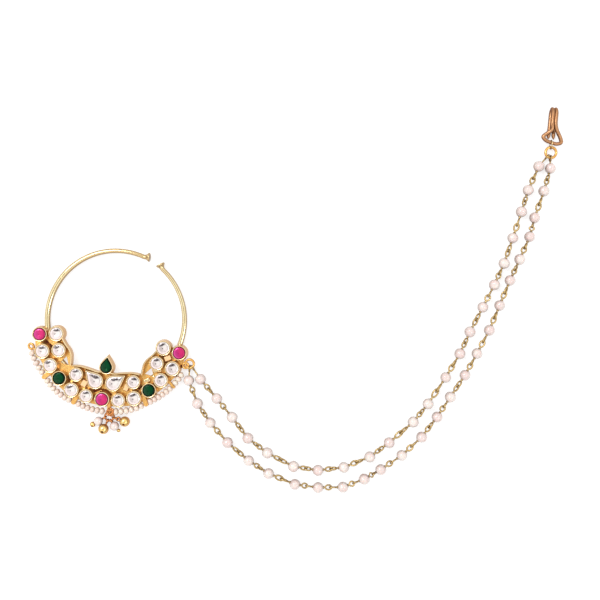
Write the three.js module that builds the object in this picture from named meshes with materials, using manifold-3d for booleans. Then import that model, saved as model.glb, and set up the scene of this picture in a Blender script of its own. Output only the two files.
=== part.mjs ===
// A nath: an open gold hoop for the nose with a crescent of set stones on its lower side, seed pearls
// along the crescent's edge, four small dangles, and two chains of pearls that end in a hair hook.
// It lies flat, as on a table. Millimetres and degrees, +Z up.

import * as THREE from "three";
import { mergeVertices } from "three/addons/utils/BufferGeometryUtils.js";
import Module from "manifold-3d";

const wasm = await Module();
wasm.setup();

// Hoop
const hoopRadius = 24.6; // to the middle of the wire
const hoopWire = 2.0;
const hoopTipWire = 1.6; // the wire thins towards its free ends
const gapPlace = 63.9; // where the opening is, counted from the right side upwards
const gapOpening = 3.9;
const flareLength = 2.1;
const flareWidth = 3.3;
const flareRim = 0.4;
const flareTurn = 20; // the free ends turn outwards by this much
const endsFrom = 0.45; // share of each half of the hoop after which it rises and thins

// Stones and their cups
const stoneWidth = 4.1;
const seatGap = 0.25;
const bezelWall = 0.35;
const pavilionDepth = 1.1;
const girdleThickness = 0.2;
const crownHeight = 0.5;
const tableShare = 0.64;
const pearTipGrow = 1.5; // a pear's outline grows this much more at its point
const pearBulge = 1.05; // and its sides swell a little

// Crescent
const crescentTilt = 7.7; // its right end lies lower than its left
const crescentShift = 0.5; // its mirror line lies this far left of the hoop's middle
const plateLow = 1.3;
const plateThickness = 0.9;
const cupFloor = 0.3;
const wallThickness = 0.5;
const wallDrop = 0.2; // the standing walls end this far under the bezels
const infillHeight = 1.1; // of the small tabs between the cups, over the plate
const windowReach = 1.6; // from a window's middle to its corners
const windowTurn = 10; // both windows turn the same way

// Seed pearl strings and the tabs that hold them
const seedWidth = 2.0;
const seedHeight = 2.7;
const tabWidth = 1.6;
const tabLip = 0.5;
const tabRoot = 0.7; // the tabs start this many cups out, inside the plate
const looseGap = 0.3;

// Rings, loops and eyes: mean radius and wire
const eyeRadius = 1.0;
const eyeWire = 0.6;
const eyeLean = 45;
const eyeTurn = 30; // the eyes point outwards and this much upwards
const eyeStem = 0.85;
const chainRingRadius = 1.55;
const chainRingWire = 0.6;
const hookRingRadius = 1.9;
const hookRingWire = 0.8;
const strandLoopRadius = 1.0;
const strandLoopWire = 0.45;
const strandLoopHeight = 1.35;
const strandWire = 0.7;
const pearlWidth = 4.0;

// Dangles
const dangleEyeRadius = 0.75;
const dangleEyeWire = 0.5;
const dangleRingRadius = 1.6;
const dangleRingWire = 0.45;
const dropLoopRadius = 0.75;
const dropWire = 0.4;
const linkReach = 1.0; // half the length of the link that carries the right ball
const ringSlack = 0.2; // how far a loop hangs down from the wire it is on

// Hair hook
const hookWire = 1.35;
const hookBarWire = 1.0;
const hookLength = 12.7;
const hookEyeWidth = 7.0;
const hookHeight = 3.8;
const hookLean = 2; // the legs lean to the right
const hookEyeTurn = 11; // and the eye is turned a little further
const hookEyeTop = 0.5; // up to this share of the hook's length
const hookLinkWire = 0.4;
const hookLinkGap = 0.75; // between the bar and the hook ring's wire
const hookLinkWide = 0.75; // share of the link's length
const hookFold = 0.3; // what is lower than this share of the hook's height is folded under it

// Faces round each kind of piece
const hoopSides = 12;
const hoopSteps = 42;
const outlinePoints = 16; // a stone and its cup
const beadSides = 10;
const beadBands = 4;
const ringSides = 5;
const ringSteps = 12;
const wireSides = 5;
const tubeSides = 8;
const tubeStep = 3; // length of one piece of a seed string
const wallSteps = 10;
const hookSteps = 22;

// Worked out from the sizes above
const cupWidth = stoneWidth + 2 * (seatGap + bezelWall);
const plateHigh = plateLow + plateThickness;
const seatFloor = plateHigh + cupFloor;
const culetHeight = seatFloor + looseGap;
const girdleLow = culetHeight + pavilionDepth;
const girdleHigh = girdleLow + girdleThickness;
const tableHeight = girdleHigh + crownHeight;
const bezelHigh = girdleHigh + crownHeight / 2;
const hoopHeight = hoopWire / 2;

// The crescent is laid out in cups. Along is counted round the hoop's own line from the crescent's
// middle, out is counted from that line away from the hoop's middle, both in widths of one cup.
// A stone with along 0 is there once, any other twice, once on each side.
const stones = [
  { name: "ruby_end", kind: "ruby", along: 5.75, out: 0.34, size: 1.0 },
  { name: "kundan_top", kind: "kundan", along: 5.53, out: -0.75, size: 1.04 },
  { name: "kundan_shoulder", kind: "kundan", along: 4.71, out: 0.53, size: 1.04 },
  { name: "kundan_loop", kind: "kundan", along: 4.27, out: -0.49, size: 0.97 },
  { name: "kundan_side", kind: "kundan", along: 3.73, out: 0.55, size: 1.0 },
  { name: "emerald", kind: "emerald", along: 2.81, out: 0.68, size: 1.0 },
  { name: "kundan_rim", kind: "kundan", along: 2.1, out: -0.23, size: 0.96 },
  { name: "kundan_edge", kind: "kundan", along: 1.84, out: 0.83, size: 1.04 },
  { name: "kundan_pear", kind: "kundan", along: 0.65, out: -0.36, size: 1.12, reach: 0.96, tip: 40 },
  { name: "kundan_low", kind: "kundan", along: 0.94, out: 0.78, size: 0.96 },
  { name: "ruby_middle", kind: "ruby", along: 0, out: 0.75, size: 1.02 },
  { name: "emerald_pear", kind: "emerald", along: 0, out: -1.41, size: 0.92, reach: 0.86, tip: 90 },
];

// Inner outline of the crescent: the loop round the inner stone, then the scalloped centre rim.
const loopRoute = [
  { along: 5.05, out: -1.02 },
  { along: 4.43, out: -1.06 },
  { along: 3.9, out: -1.1 },
  { along: 3.46, out: -1.0 },
  { along: 3.1, out: -0.74 },
  { along: 2.84, out: -0.46 },
];
const rimRoute = [
  { along: 2.72, out: -0.52 },
  { along: 2.21, out: -0.82 },
  { along: 1.38, out: -0.98 },
  { along: 0.72, out: -0.99 },
  { along: 0.36, out: -1.06 },
];
const outerRoute = [
  { along: 0, out: 1.08 },
  { along: 0.94, out: 1.1 },
  { along: 1.84, out: 1.14 },
  { along: 2.81, out: 1.0 },
  { along: 3.73, out: 0.88 },
  { along: 4.71, out: 0.86 },
  { along: 5.5, out: 0.7 },
  { along: 5.86, out: 0.1 },
  { along: 5.7, out: -0.6 },
];
const infills = [
  { along: 1.42, out: 0.05, wide: 0.42 },
  { along: 2.96, out: 0.14, wide: 0.3 },
  { along: 3.93, out: -0.02, wide: 0.3 },
  { along: 5.03, out: -0.14, wide: 0.34 },
];
const windows = { along: 3.38, out: -0.3 };
const endEyes = { along: 5.25, out: 1.09 };

// The thread of the seed pearls passes through these tabs, with one span between each two.
const threadRoute = [
  { along: -5.06, out: 1.36, wide: 0.5 },
  { along: -3.45, out: 1.44, wide: 0.8 },
  { along: -1.46, out: 1.56, wide: 1.0 },
  { along: 0.39, out: 1.62, wide: 1.1, dangles: true },
  { along: 2.33, out: 1.49, wide: 0.8 },
  { along: 4.0, out: 1.42, wide: 0.3 },
  { along: 4.92, out: 1.28, wide: 0.5 },
];
const threadBulge = [0.0, 0.12, 0.06, 0.07, 0.02, 0.0]; // of each span, in cups

// Drops on the dangle ring: where they hang on it and where they point, from straight down, then
// how far the bead lies from the drop's loop, and how far its gold tip lies from the bead.
const drops = [
  { name: "pearl_left", at: -72, turn: -52, reach: 2.4, bead: 3.2, tipReach: 2.5, tip: 2.0 },
  { name: "ball_middle", at: -16, turn: -16, reach: 2.95, bead: 3.7, gold: true },
  { name: "pearl_right", at: 30, turn: 44, reach: 2.15, bead: 3.3, tipReach: 2.1, tip: 1.3 },
  { name: "ball_right", at: 81, turn: 81, reach: 2.6, bead: 3.7, gold: true, onLink: true },
];

// The hook ring's middle and the pearls of the two chains, across and up from the chain ring's
// middle, in widths of one pearl.
const hookRingPlace = [32.34, 18.91];
const innerRoute = [
  [0.99, -1.37], [2.44, -3.09], [3.81, -4.77], [5.22, -6.64], [6.96, -7.96], [9.29, -9.16],
  [11.49, -9.51], [13.79, -9.24], [16.11, -8.31], [17.84, -7.04], [19.99, -5.19], [21.32, -3.57],
  [22.89, -1.21], [24.16, 0.91], [25.06, 2.86], [26.21, 5.06], [27.24, 7.06], [28.11, 8.98],
  [28.89, 11.24], [29.66, 13.59], [30.26, 15.51], [31.21, 17.64],
];
const outerStrandRoute = [
  [-0.06, -1.48], [0.71, -3.54], [1.86, -5.26], [3.41, -7.04], [5.29, -8.64], [7.07, -9.79],
  [9.42, -10.76], [11.49, -11.04], [13.71, -11.01], [15.61, -10.29], [17.09, -9.44], [18.97, -8.17],
  [20.74, -6.54], [22.12, -4.74], [23.31, -2.96], [24.61, -1.01], [25.69, 0.93], [26.79, 3.01],
  [27.71, 5.23], [28.64, 7.46], [29.51, 9.34], [30.39, 11.36], [30.84, 13.06], [31.67, 15.44],
  [32.24, 17.46],
];

// Finishes
const finishes = {
  gold: new THREE.MeshStandardMaterial({ color: 0xe9c878, roughness: 0.25, metalness: 1 }),
  roseGold: new THREE.MeshStandardMaterial({ color: 0xc98a5c, roughness: 0.3, metalness: 1 }),
  kundan: new THREE.MeshStandardMaterial({ color: 0xf3eef2, roughness: 0.08, metalness: 0 }),
  ruby: new THREE.MeshStandardMaterial({ color: 0xd52a84, roughness: 0.1, metalness: 0 }),
  emerald: new THREE.MeshStandardMaterial({ color: 0x0b5a34, roughness: 0.1, metalness: 0 }),
  pearl: new THREE.MeshStandardMaterial({ color: 0xf2dfdc, roughness: 0.3, metalness: 0 }),
};

// Solids and meshes
function solid(geometry) {
  const bare = geometry.clone();
  bare.deleteAttribute("normal");
  bare.deleteAttribute("uv");
  const merged = mergeVertices(bare, 1e-4);
  return new wasm.Manifold(
    new wasm.Mesh({
      numProp: 3,
      vertProperties: merged.attributes.position.array,
      triVerts: new Uint32Array(merged.index.array),
    }),
  );
}

function joined(geometries) {
  return geometries.map(solid).reduce((all, one) => all.add(one));
}

function meshOf(name, made, material) {
  const raw = made.getMesh();
  const geometry = new THREE.BufferGeometry();
  geometry.setAttribute("position", new THREE.BufferAttribute(new Float32Array(raw.vertProperties), 3));
  geometry.setIndex(new THREE.BufferAttribute(new Uint32Array(raw.triVerts), 1));
  const mesh = new THREE.Mesh(geometry, material);
  mesh.name = name;
  return mesh;
}

// Places
function radians(degrees) {
  return THREE.MathUtils.degToRad(degrees);
}

function place({ along, out }, side = 1) {
  const angle = (side * along * cupWidth) / hoopRadius;
  const radius = hoopRadius + out * cupWidth;
  return new THREE.Vector2(radius * Math.sin(angle), -radius * Math.cos(angle));
}

function sidesOf(row) {
  return row.along === 0 ? [1] : [-1, 1];
}

// Shapes
function polygon(width, sides) {
  const points = [];
  for (let i = 0; i < sides; i++) {
    const angle = (2 * Math.PI * i) / sides;
    points.push(new THREE.Vector2((width / 2) * Math.cos(angle), (width / 2) * Math.sin(angle)));
  }
  return new THREE.Shape(points);
}

function tube(curve, width, sides, steps) {
  return new THREE.ExtrudeGeometry(polygon(width, sides), {
    extrudePath: curve,
    steps,
    bevelEnabled: false,
  });
}

// Round wire along a curve, with a width that may change along it and flat ends.
function taperedWire(curve, widthAt, sides, steps) {
  const frames = curve.computeFrenetFrames(steps, false);
  const corners = [];
  const rows = frames.normals.map((normal, i) => {
    const centre = curve.getPointAt(i / steps);
    const row = [];
    for (let j = 0; j < sides; j++) {
      const angle = (2 * Math.PI * j) / sides;
      const radius = widthAt(i / steps) / 2;
      row.push(
        centre
          .clone()
          .addScaledVector(normal, radius * Math.cos(angle))
          .addScaledVector(frames.binormals[i], radius * Math.sin(angle)),
      );
    }
    return row;
  });
  for (let j = 0; j < sides; j++) {
    const k = (j + 1) % sides;
    for (let i = 0; i < steps; i++) {
      corners.push(rows[i][j], rows[i][k], rows[i + 1][k]);
      corners.push(rows[i][j], rows[i + 1][k], rows[i + 1][j]);
    }
    if (j > 0 && k > 0) {
      corners.push(rows[0][0], rows[0][k], rows[0][j]);
      corners.push(rows[steps][0], rows[steps][j], rows[steps][k]);
    }
  }
  return new THREE.BufferGeometry().setFromPoints(corners);
}

function slab(points, low, high, holes = []) {
  const shape = new THREE.Shape(points);
  shape.holes = holes.map((hole) => new THREE.Path(hole));
  const made = new THREE.ExtrudeGeometry(shape, { depth: high - low, bevelEnabled: false });
  return made.translate(0, 0, low);
}

function bead(width, centre) {
  return new THREE.SphereGeometry(width / 2, beadSides, beadBands)
    .rotateX(Math.PI / 2)
    .translate(centre.x, centre.y, centre.z);
}

function rod(start, end, width, sides = wireSides) {
  const line = new THREE.Vector3().subVectors(end, start);
  const turn = new THREE.Quaternion().setFromUnitVectors(
    new THREE.Vector3(0, 1, 0),
    line.clone().normalize(),
  );
  const middle = new THREE.Vector3().addVectors(start, end).multiplyScalar(0.5);
  return new THREE.CylinderGeometry(width / 2, width / 2, line.length(), sides)
    .applyQuaternion(turn)
    .translate(middle.x, middle.y, middle.z);
}

// A ring of round wire in the XY plane, stretched along X where long is more than its radius.
function ring(radius, wire, long = radius) {
  const made = new THREE.TorusGeometry(radius, wire / 2, ringSides, ringSteps);
  const points = made.attributes.position;
  for (let i = 0; i < points.count; i++) {
    const angle = Math.atan2(points.getY(i), points.getX(i));
    points.setX(i, points.getX(i) + (long - radius) * Math.cos(angle));
  }
  return made;
}

// Stands a ring up, leans it, points it in a direction of the floor plan and moves it to its place.
function hung(made, turn, lean, centre) {
  return made
    .rotateX(radians(90 - lean))
    .rotateZ(turn)
    .translate(centre.x, centre.y, centre.z);
}

// Outline of a stone round its own middle, grown on all sides. A pear has its point along +X.
function stoneOutline(row, grow = 0) {
  const radius = (row.size * stoneWidth) / 2 + grow;
  const points = [];
  if (!row.reach) {
    for (let i = 0; i < outlinePoints; i++) {
      const angle = (2 * Math.PI * i) / outlinePoints;
      points.push(new THREE.Vector2(radius * Math.cos(angle), radius * Math.sin(angle)));
    }
    return points;
  }
  const tip = row.reach * row.size * stoneWidth + pearTipGrow * grow;
  const tangent = Math.acos(radius / tip);
  const arcSteps = outlinePoints - 4;
  const onArc = (angle) => new THREE.Vector2(radius * Math.cos(angle), radius * Math.sin(angle));
  const side = onArc(tangent).add(new THREE.Vector2(tip, 0)).multiplyScalar(0.5);
  points.push(new THREE.Vector2(tip, 0));
  points.push(new THREE.Vector2(side.x, side.y * pearBulge));
  for (let i = 0; i <= arcSteps; i++) {
    points.push(onArc(tangent + ((2 * Math.PI - 2 * tangent) * i) / arcSteps));
  }
  points.push(new THREE.Vector2(side.x, -side.y * pearBulge));
  return points;
}

function stonePlace(row, side) {
  const turn = row.reach ? radians(side > 0 ? row.tip : 180 - row.tip) : 0;
  return { turn, centre: place(row, side) };
}

function stoneSlab(row, side, grow, low, high) {
  const { turn, centre } = stonePlace(row, side);
  return slab(stoneOutline(row, grow), low, high).rotateZ(turn).translate(centre.x, centre.y, 0);
}

// A cut stone: a point below, a thin girdle, eight main facets with half facets between, a flat table.
function cutStone(row, side) {
  const outline = stoneOutline(row);
  const corners = [];
  const ringAt = (points, height, share) =>
    points.map((p) => new THREE.Vector3(p.x * share, p.y * share, height));
  const face = (a, b, c) => corners.push(a, b, c);
  const culet = new THREE.Vector3(0, 0, culetHeight);
  const low = ringAt(outline, girdleLow, 1);
  const high = ringAt(outline, girdleHigh, 1);
  const table = ringAt(outline.filter((p, i) => i % 2 === 0), tableHeight, tableShare);
  const next = (list, i) => list[(i + 1) % list.length];
  for (let i = 0; i < outline.length; i++) {
    face(culet, next(low, i), low[i]);
    face(low[i], next(low, i), next(high, i));
    face(low[i], next(high, i), high[i]);
  }
  for (let i = 0; i < table.length; i++) {
    const j = 2 * i;
    face(table[i], high[j], high[j + 1]);
    face(table[i], high[j + 1], next(table, i));
    face(next(table, i), high[j + 1], next(high, j + 1));
    if (i > 0 && i < table.length - 1) face(table[0], table[i], table[i + 1]);
  }
  const { turn, centre } = stonePlace(row, side);
  return new THREE.BufferGeometry()
    .setFromPoints(corners)
    .rotateZ(turn)
    .translate(centre.x, centre.y, 0);
}

// The hoop's wire, from one free end round the bottom to the other. The ends rise until the flares,
// which are wider than the wire, rest on the same surface as the rest of it.
class HoopLine extends THREE.Curve {
  constructor(first, last) {
    super();
    this.first = first;
    this.last = last;
  }

  getPoint(t, target = new THREE.Vector3()) {
    const angle = THREE.MathUtils.lerp(this.first, this.last, t);
    return target.set(
      crescentShift + hoopRadius * Math.cos(angle),
      hoopRadius * Math.sin(angle),
      hoopHeight + endShare(t) * (flareWidth / 2 - hoopHeight),
    );
  }
}

// 0 on the lower half of the hoop, 1 at its free ends.
function endShare(t) {
  return THREE.MathUtils.smoothstep(Math.abs(2 * t - 1), endsFrom, 1);
}

function hoop() {
  const halfGap = (gapOpening / 2 + flareLength) / hoopRadius;
  const middle = radians(gapPlace);
  const first = middle + halfGap - 2 * Math.PI;
  const last = middle - halfGap;
  const line = new HoopLine(last, first);
  const widthAt = (t) => THREE.MathUtils.lerp(hoopWire, hoopTipWire, endShare(t));
  const wire = taperedWire(line, widthAt, hoopSides, hoopSteps);
  const ends = [
    { t: 0, forward: -1, turn: -flareTurn },
    { t: 1, forward: 1, turn: flareTurn },
  ];
  const flares = ends.map(({ t, forward, turn }) => {
    const point = line.getPoint(t);
    const angle = THREE.MathUtils.lerp(last, first, t);
    const heading = angle - (forward * Math.PI) / 2 + radians(turn);
    return flare().rotateZ(heading).translate(point.x, point.y, point.z);
  });
  return joined([wire, ...flares]);
}

// A trumpet along +X. It starts as a ball joint on the wire's end and ends in a flat disc. Along is
// counted in lengths of the flare, wide from the wire's radius to the rim's.
const flareCurve = [
  { along: 0, wide: 0 },
  { along: 0.2, wide: 0.04 },
  { along: 0.5, wide: 0.3 },
  { along: 0.7, wide: 0.7 },
];

function flare() {
  const wire = hoopTipWire / 2;
  const rim = flareWidth / 2;
  const curve = flareCurve.map(({ along, wide }) => [wire + wide * (rim - wire), along * flareLength]);
  const profile = [
    [0, -wire],
    [wire * Math.SQRT1_2, -wire * Math.SQRT1_2],
    ...curve,
    [rim, flareLength - flareRim],
    [rim, flareLength],
    [0, flareLength],
  ].map(([across, along]) => new THREE.Vector2(across, along));
  return new THREE.LatheGeometry(profile, hoopSides).rotateZ(-Math.PI / 2);
}

// Back plate, standing walls and the small pieces between the cups
function smooth(corners, count, closed) {
  const points = corners.map((p) => new THREE.Vector3(p.x, p.y, 0));
  const curve = new THREE.CatmullRomCurve3(points, closed, "centripetal");
  return curve.getPoints(count).map((p) => new THREE.Vector2(p.x, p.y));
}

function windowOutline(side) {
  const centre = place(windows, side);
  const points = [];
  for (let i = 0; i < 3; i++) {
    const angle = radians(90 + 120 * i - windowTurn);
    const across = windowReach * Math.cos(angle);
    points.push(new THREE.Vector2(centre.x + across, centre.y + windowReach * Math.sin(angle)));
  }
  return points;
}

function backPlate() {
  const half = [...outerRoute, ...loopRoute, ...rimRoute];
  const right = half.map((row) => ({ row, side: 1 }));
  const left = half.slice(1).reverse().map((row) => ({ row, side: -1 }));
  const corners = [...right, ...left].map(({ row, side }) => place(row, side));
  const outline = smooth(corners, 2 * corners.length, true).slice(0, -1);
  return slab(outline, plateLow, plateHigh, [windowOutline(-1), windowOutline(1)]);
}

function ribbon(points, thickness, low, high) {
  const near = [];
  const far = [];
  points.forEach((p, i) => {
    const before = points[Math.max(i - 1, 0)];
    const after = points[Math.min(i + 1, points.length - 1)];
    const across = new THREE.Vector2(before.y - after.y, after.x - before.x).normalize();
    near.push(p.clone().addScaledVector(across, thickness / 2));
    far.unshift(p.clone().addScaledVector(across, -thickness / 2));
  });
  return slab([...near, ...far], low, high);
}

function standingWalls(side) {
  return [loopRoute, rimRoute].map((route) => {
    const corners = route.map((row) => place(row, side));
    return ribbon(smooth(corners, wallSteps, false), wallThickness, plateLow, bezelHigh - wallDrop);
  });
}

function infill(row, side) {
  const centre = place(row, side);
  const radius = (row.wide * cupWidth) / 2;
  const low = plateHigh - plateThickness / 2;
  const high = plateHigh + infillHeight;
  return new THREE.CylinderGeometry(radius, radius, high - low, tubeSides)
    .rotateX(Math.PI / 2)
    .translate(centre.x, centre.y, (low + high) / 2);
}

// A small upright tab, from the plate's edge to just past the thread.
function threadTab(row) {
  const inner = place({ along: row.along, out: tabRoot });
  const thread = place(row);
  const line = thread.clone().sub(inner);
  const length = line.length() + tabLip;
  const high = seedHeight + tabLip;
  return new THREE.BoxGeometry(length, row.wide * tabWidth, high - plateLow)
    .translate(length / 2, 0, 0)
    .rotateZ(line.angle())
    .translate(inner.x, inner.y, (plateLow + high) / 2);
}

function eyeHeading(side) {
  const angle = radians(eyeTurn);
  return new THREE.Vector3(side * Math.cos(angle), Math.sin(angle), 0);
}

function eyeCentre(side) {
  const flat = place(endEyes, side);
  return new THREE.Vector3(flat.x, flat.y, (plateLow + plateHigh) / 2);
}

function endEye(side) {
  const heading = eyeHeading(side);
  const centre = eyeCentre(side);
  const end = centre.clone().addScaledVector(heading, -eyeRadius);
  const start = end.clone().addScaledVector(heading, -cupWidth / 2);
  return [
    hung(ring(eyeRadius, eyeWire), Math.atan2(heading.y, heading.x), side * eyeLean, centre),
    rod(start, end, eyeStem),
  ];
}

// The eye under the middle tab and the ring that hangs in it
function dangleRingCentre() {
  const tab = place(threadRoute.find((row) => row.dangles));
  return new THREE.Vector3(tab.x, tab.y - ringSlack / 2 - dangleRingRadius, dangleRingHeight());
}

function dangleRingHeight() {
  return dropLoopRadius + dropWire / 2;
}

function dangleEye() {
  const centre = dangleRingCentre();
  centre.y += dangleRingRadius + ringSlack / 2;
  centre.z = Math.max(dangleRingHeight(), dangleEyeRadius + dangleEyeWire / 2);
  return hung(ring(dangleEyeRadius, dangleEyeWire), Math.PI / 2, 0, centre);
}

function goldFrame() {
  const sides = [-1, 1];
  const rows = stones.flatMap((row) => sidesOf(row).map((side) => ({ row, side })));
  const cups = rows.map(({ row, side }) =>
    stoneSlab(row, side, seatGap + bezelWall, (plateLow + plateHigh) / 2, bezelHigh),
  );
  const pockets = rows.map(({ row, side }) =>
    stoneSlab(row, side, seatGap, seatFloor, tableHeight + looseGap),
  );
  const solids = [
    backPlate(),
    ...cups,
    ...sides.flatMap(standingWalls),
    ...sides.flatMap((side) => infills.map((row) => infill(row, side))),
    ...threadRoute.map(threadTab),
    ...sides.flatMap(endEye),
    dangleEye(),
  ];
  return hoop().add(joined(solids)).subtract(joined(pockets));
}

// Strings of seed pearls
function threadPoint(index, share) {
  const from = threadRoute[index];
  const to = threadRoute[index + 1];
  const along = THREE.MathUtils.lerp(from.along, to.along, share);
  const out = THREE.MathUtils.lerp(from.out, to.out, share);
  const bulge = 4 * threadBulge[index] * share * (1 - share);
  const flat = place({ along, out: out + bulge });
  return new THREE.Vector3(flat.x, flat.y, seedHeight);
}

function seedString(index) {
  const length = threadPoint(index, 0).distanceTo(threadPoint(index, 1));
  const clear = (row) => (row.wide * tabWidth) / 2 + looseGap;
  const first = clear(threadRoute[index]) / length;
  const last = 1 - clear(threadRoute[index + 1]) / length;
  const points = [];
  const steps = Math.max(3, Math.round(length / tubeStep));
  for (let i = 0; i <= steps; i++) {
    points.push(threadPoint(index, THREE.MathUtils.lerp(first, last, i / steps)));
  }
  return tube(new THREE.CatmullRomCurve3(points), seedWidth, tubeSides, steps);
}

// Dangles
function direction(turn) {
  return new THREE.Vector3(Math.sin(radians(turn)), -Math.cos(radians(turn)), 0);
}

function drop(row) {
  const heading = direction(row.turn);
  const angle = Math.atan2(heading.y, heading.x);
  const wirePoint = dangleRingCentre().addScaledVector(direction(row.at), dangleRingRadius);
  const fromWire = row.onLink ? linkShift() + linkInside() + dropLoopRadius : ringSlack;
  const loop = wirePoint.clone().addScaledVector(heading, fromWire);
  const centre = loop.clone().addScaledVector(heading, row.reach);
  centre.z = row.bead / 2;
  const pinStart = loop.clone().addScaledVector(heading, dropLoopRadius);
  const lean = row.onLink ? 90 : 0; // the link stands up, so the loop on it lies flat
  const pieces = [
    hung(ring(dropLoopRadius, dropWire), angle, lean, loop),
    rod(pinStart, centre, dropWire),
    bead(row.bead, centre),
  ];
  if (row.tip) {
    const tip = centre.clone().addScaledVector(heading, row.tipReach);
    tip.z = Math.max(row.tip / 2, centre.z - row.bead / 4);
    pieces.push(rod(centre, tip, dropWire), bead(row.tip, tip));
  }
  return joined(pieces);
}

// How far the link's middle lies from the ring's wire, and the next loop's wire from that middle.
function linkShift() {
  return linkReach - (dropWire + dangleRingWire + ringSlack) / 2;
}

function linkInside() {
  return linkReach - dropWire - ringSlack / 2;
}

function dangleLink() {
  const row = drops.find((one) => one.onLink);
  const heading = direction(row.turn);
  const centre = dangleRingCentre()
    .addScaledVector(direction(row.at), dangleRingRadius)
    .addScaledVector(heading, linkShift());
  const angle = Math.atan2(heading.y, heading.x);
  return hung(ring(dropLoopRadius, dropWire, linkReach), angle, 0, centre);
}

// The crescent's own frame, tilted on the hoop, and the rings that the chains hang between.
const crescent = new THREE.Group();
crescent.rotation.z = -radians(crescentTilt);
crescent.position.set(-crescentShift, 0, 0).applyEuler(crescent.rotation);
crescent.updateMatrix();

const chainRingCentre = eyeCentre(1)
  .addScaledVector(eyeHeading(1), chainRingRadius)
  .applyMatrix4(crescent.matrix);
const hookRingCentre = chainPoint(hookRingPlace, strandLoopHeight);

// Chains of pearls
function chainPoint([across, up], height) {
  const { x, y } = chainRingCentre;
  return new THREE.Vector3(x + across * pearlWidth, y + up * pearlWidth, height);
}

function loopOn(ringCentre, ringRadius, pearl) {
  const heading = new THREE.Vector3(pearl.x - ringCentre.x, pearl.y - ringCentre.y, 0).normalize();
  const centre = new THREE.Vector3(ringCentre.x, ringCentre.y, strandLoopHeight)
    .addScaledVector(heading, ringRadius + ringSlack);
  const start = centre.clone().addScaledVector(heading, strandLoopRadius);
  return [
    hung(ring(strandLoopRadius, strandLoopWire), Math.atan2(heading.y, heading.x), 0, centre),
    rod(start, pearl, strandLoopWire),
  ];
}

function pearlStrand(route) {
  const pearls = route.map((row) => chainPoint(row, pearlWidth / 2));
  const wires = pearls.slice(1).map((pearl, i) => rod(pearls[i], pearl, strandWire));
  return joined([
    ...pearls.map((pearl) => bead(pearlWidth, pearl)),
    ...wires,
    ...loopOn(chainRingCentre, chainRingRadius, pearls[0]),
    ...loopOn(hookRingCentre, hookRingRadius, pearls[pearls.length - 1]),
  ]);
}

// Hair hook: half of the bent wire, from the middle of the bar to its folded tip. Across, up and
// high are shares of the eye's half width, the hook's length and its height.
const hookBend = [
  { across: -0.08, up: 0.0, high: 0.46 },
  { across: 0.55, up: 0.01, high: 0.44 },
  { across: 0.96, up: 0.09, high: 0.42 },
  { across: 0.72, up: 0.2, high: 0.5 },
  { across: 0.26, up: 0.34, high: 0.74 },
  { across: 0.18, up: 0.5, high: 0.85 },
  { across: 0.18, up: 0.84, high: 0.82 },
  { across: 0.18, up: 0.94, high: 0.5 },
  { across: 0.18, up: 0.85, high: 0.24 },
  { across: 0.18, up: 0.5, high: 0.2 },
  { across: 0.22, up: 0.12, high: 0.2 },
];

// The link goes round the bar and the hook ring's wire. linkWires is how far these two lie apart, and
// linkLength is counted from the link's middle to its ends.
const linkWires = (hookBarWire + hookRingWire) / 2 + hookLinkGap;
const linkLength = (hookBarWire + hookRingWire + hookLinkGap + ringSlack + hookLinkWire) / 2;

function barCentre() {
  const rise = hookBend[0].high * hookHeight - strandLoopHeight;
  const away = Math.sqrt(Math.max(linkWires ** 2 - rise ** 2, 0));
  return hookRingCentre.clone().add(new THREE.Vector3(0, hookRingRadius + away, rise));
}

function hookPoint({ across, up, high }, side) {
  const eyeShare = 1 - THREE.MathUtils.smoothstep(up, hookFold * hookEyeTop, hookEyeTop);
  const turn = -radians(hookLean + (high > hookFold ? hookEyeTurn * eyeShare : 0));
  const flat = new THREE.Vector2((side * across * hookEyeWidth) / 2, up * hookLength);
  flat.rotateAround(new THREE.Vector2(), turn);
  const bar = barCentre();
  return new THREE.Vector3(bar.x + flat.x, bar.y + flat.y, high * hookHeight);
}

function hairHook() {
  const widthAt = (t) =>
    THREE.MathUtils.lerp(hookBarWire, hookWire, THREE.MathUtils.smoothstep(t, 0, hookFold));
  const halves = [-1, 1].map((side) => {
    const curve = new THREE.CatmullRomCurve3(hookBend.map((row) => hookPoint(row, side)));
    return taperedWire(curve, widthAt, tubeSides, hookSteps);
  });
  return joined(halves);
}

function hookLink() {
  const bar = barCentre();
  const wire = hookRingCentre.clone().add(new THREE.Vector3(0, hookRingRadius, 0));
  const line = bar.clone().sub(wire).normalize();
  const centre = bar.addScaledVector(line, -(hookRingWire + hookLinkGap) / 2);
  const made = ring(linkLength * hookLinkWide, hookLinkWire, linkLength)
    .rotateX(Math.PI / 2)
    .rotateY(-Math.asin(line.z))
    .rotateZ(Math.PI / 2);
  return solid(made.translate(centre.x, centre.y, centre.z));
}

function flatRing(centre, radius, wire) {
  return solid(ring(radius, wire).translate(centre.x, centre.y, centre.z));
}

// The whole nath
crescent.add(meshOf("gold_frame", goldFrame(), finishes.gold));
for (const row of stones) {
  const endings = row.along === 0 ? [""] : ["_left", "_right"];
  sidesOf(row).forEach((side, i) => {
    crescent.add(meshOf(row.name + endings[i], solid(cutStone(row, side)), finishes[row.kind]));
  });
}
for (let i = 0; i < threadRoute.length - 1; i++) {
  crescent.add(meshOf("seed_string_" + (i + 1), solid(seedString(i)), finishes.pearl));
}
const dangleRing = ring(dangleRingRadius, dangleRingWire);
const ringCentre = dangleRingCentre();
dangleRing.translate(ringCentre.x, ringCentre.y, ringCentre.z);
crescent.add(meshOf("dangle_ring", solid(dangleRing), finishes.roseGold));
crescent.add(meshOf("dangle_link", solid(dangleLink()), finishes.roseGold));
for (const row of drops) {
  crescent.add(meshOf("drop_" + row.name, drop(row), row.gold ? finishes.gold : finishes.pearl));
}

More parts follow.
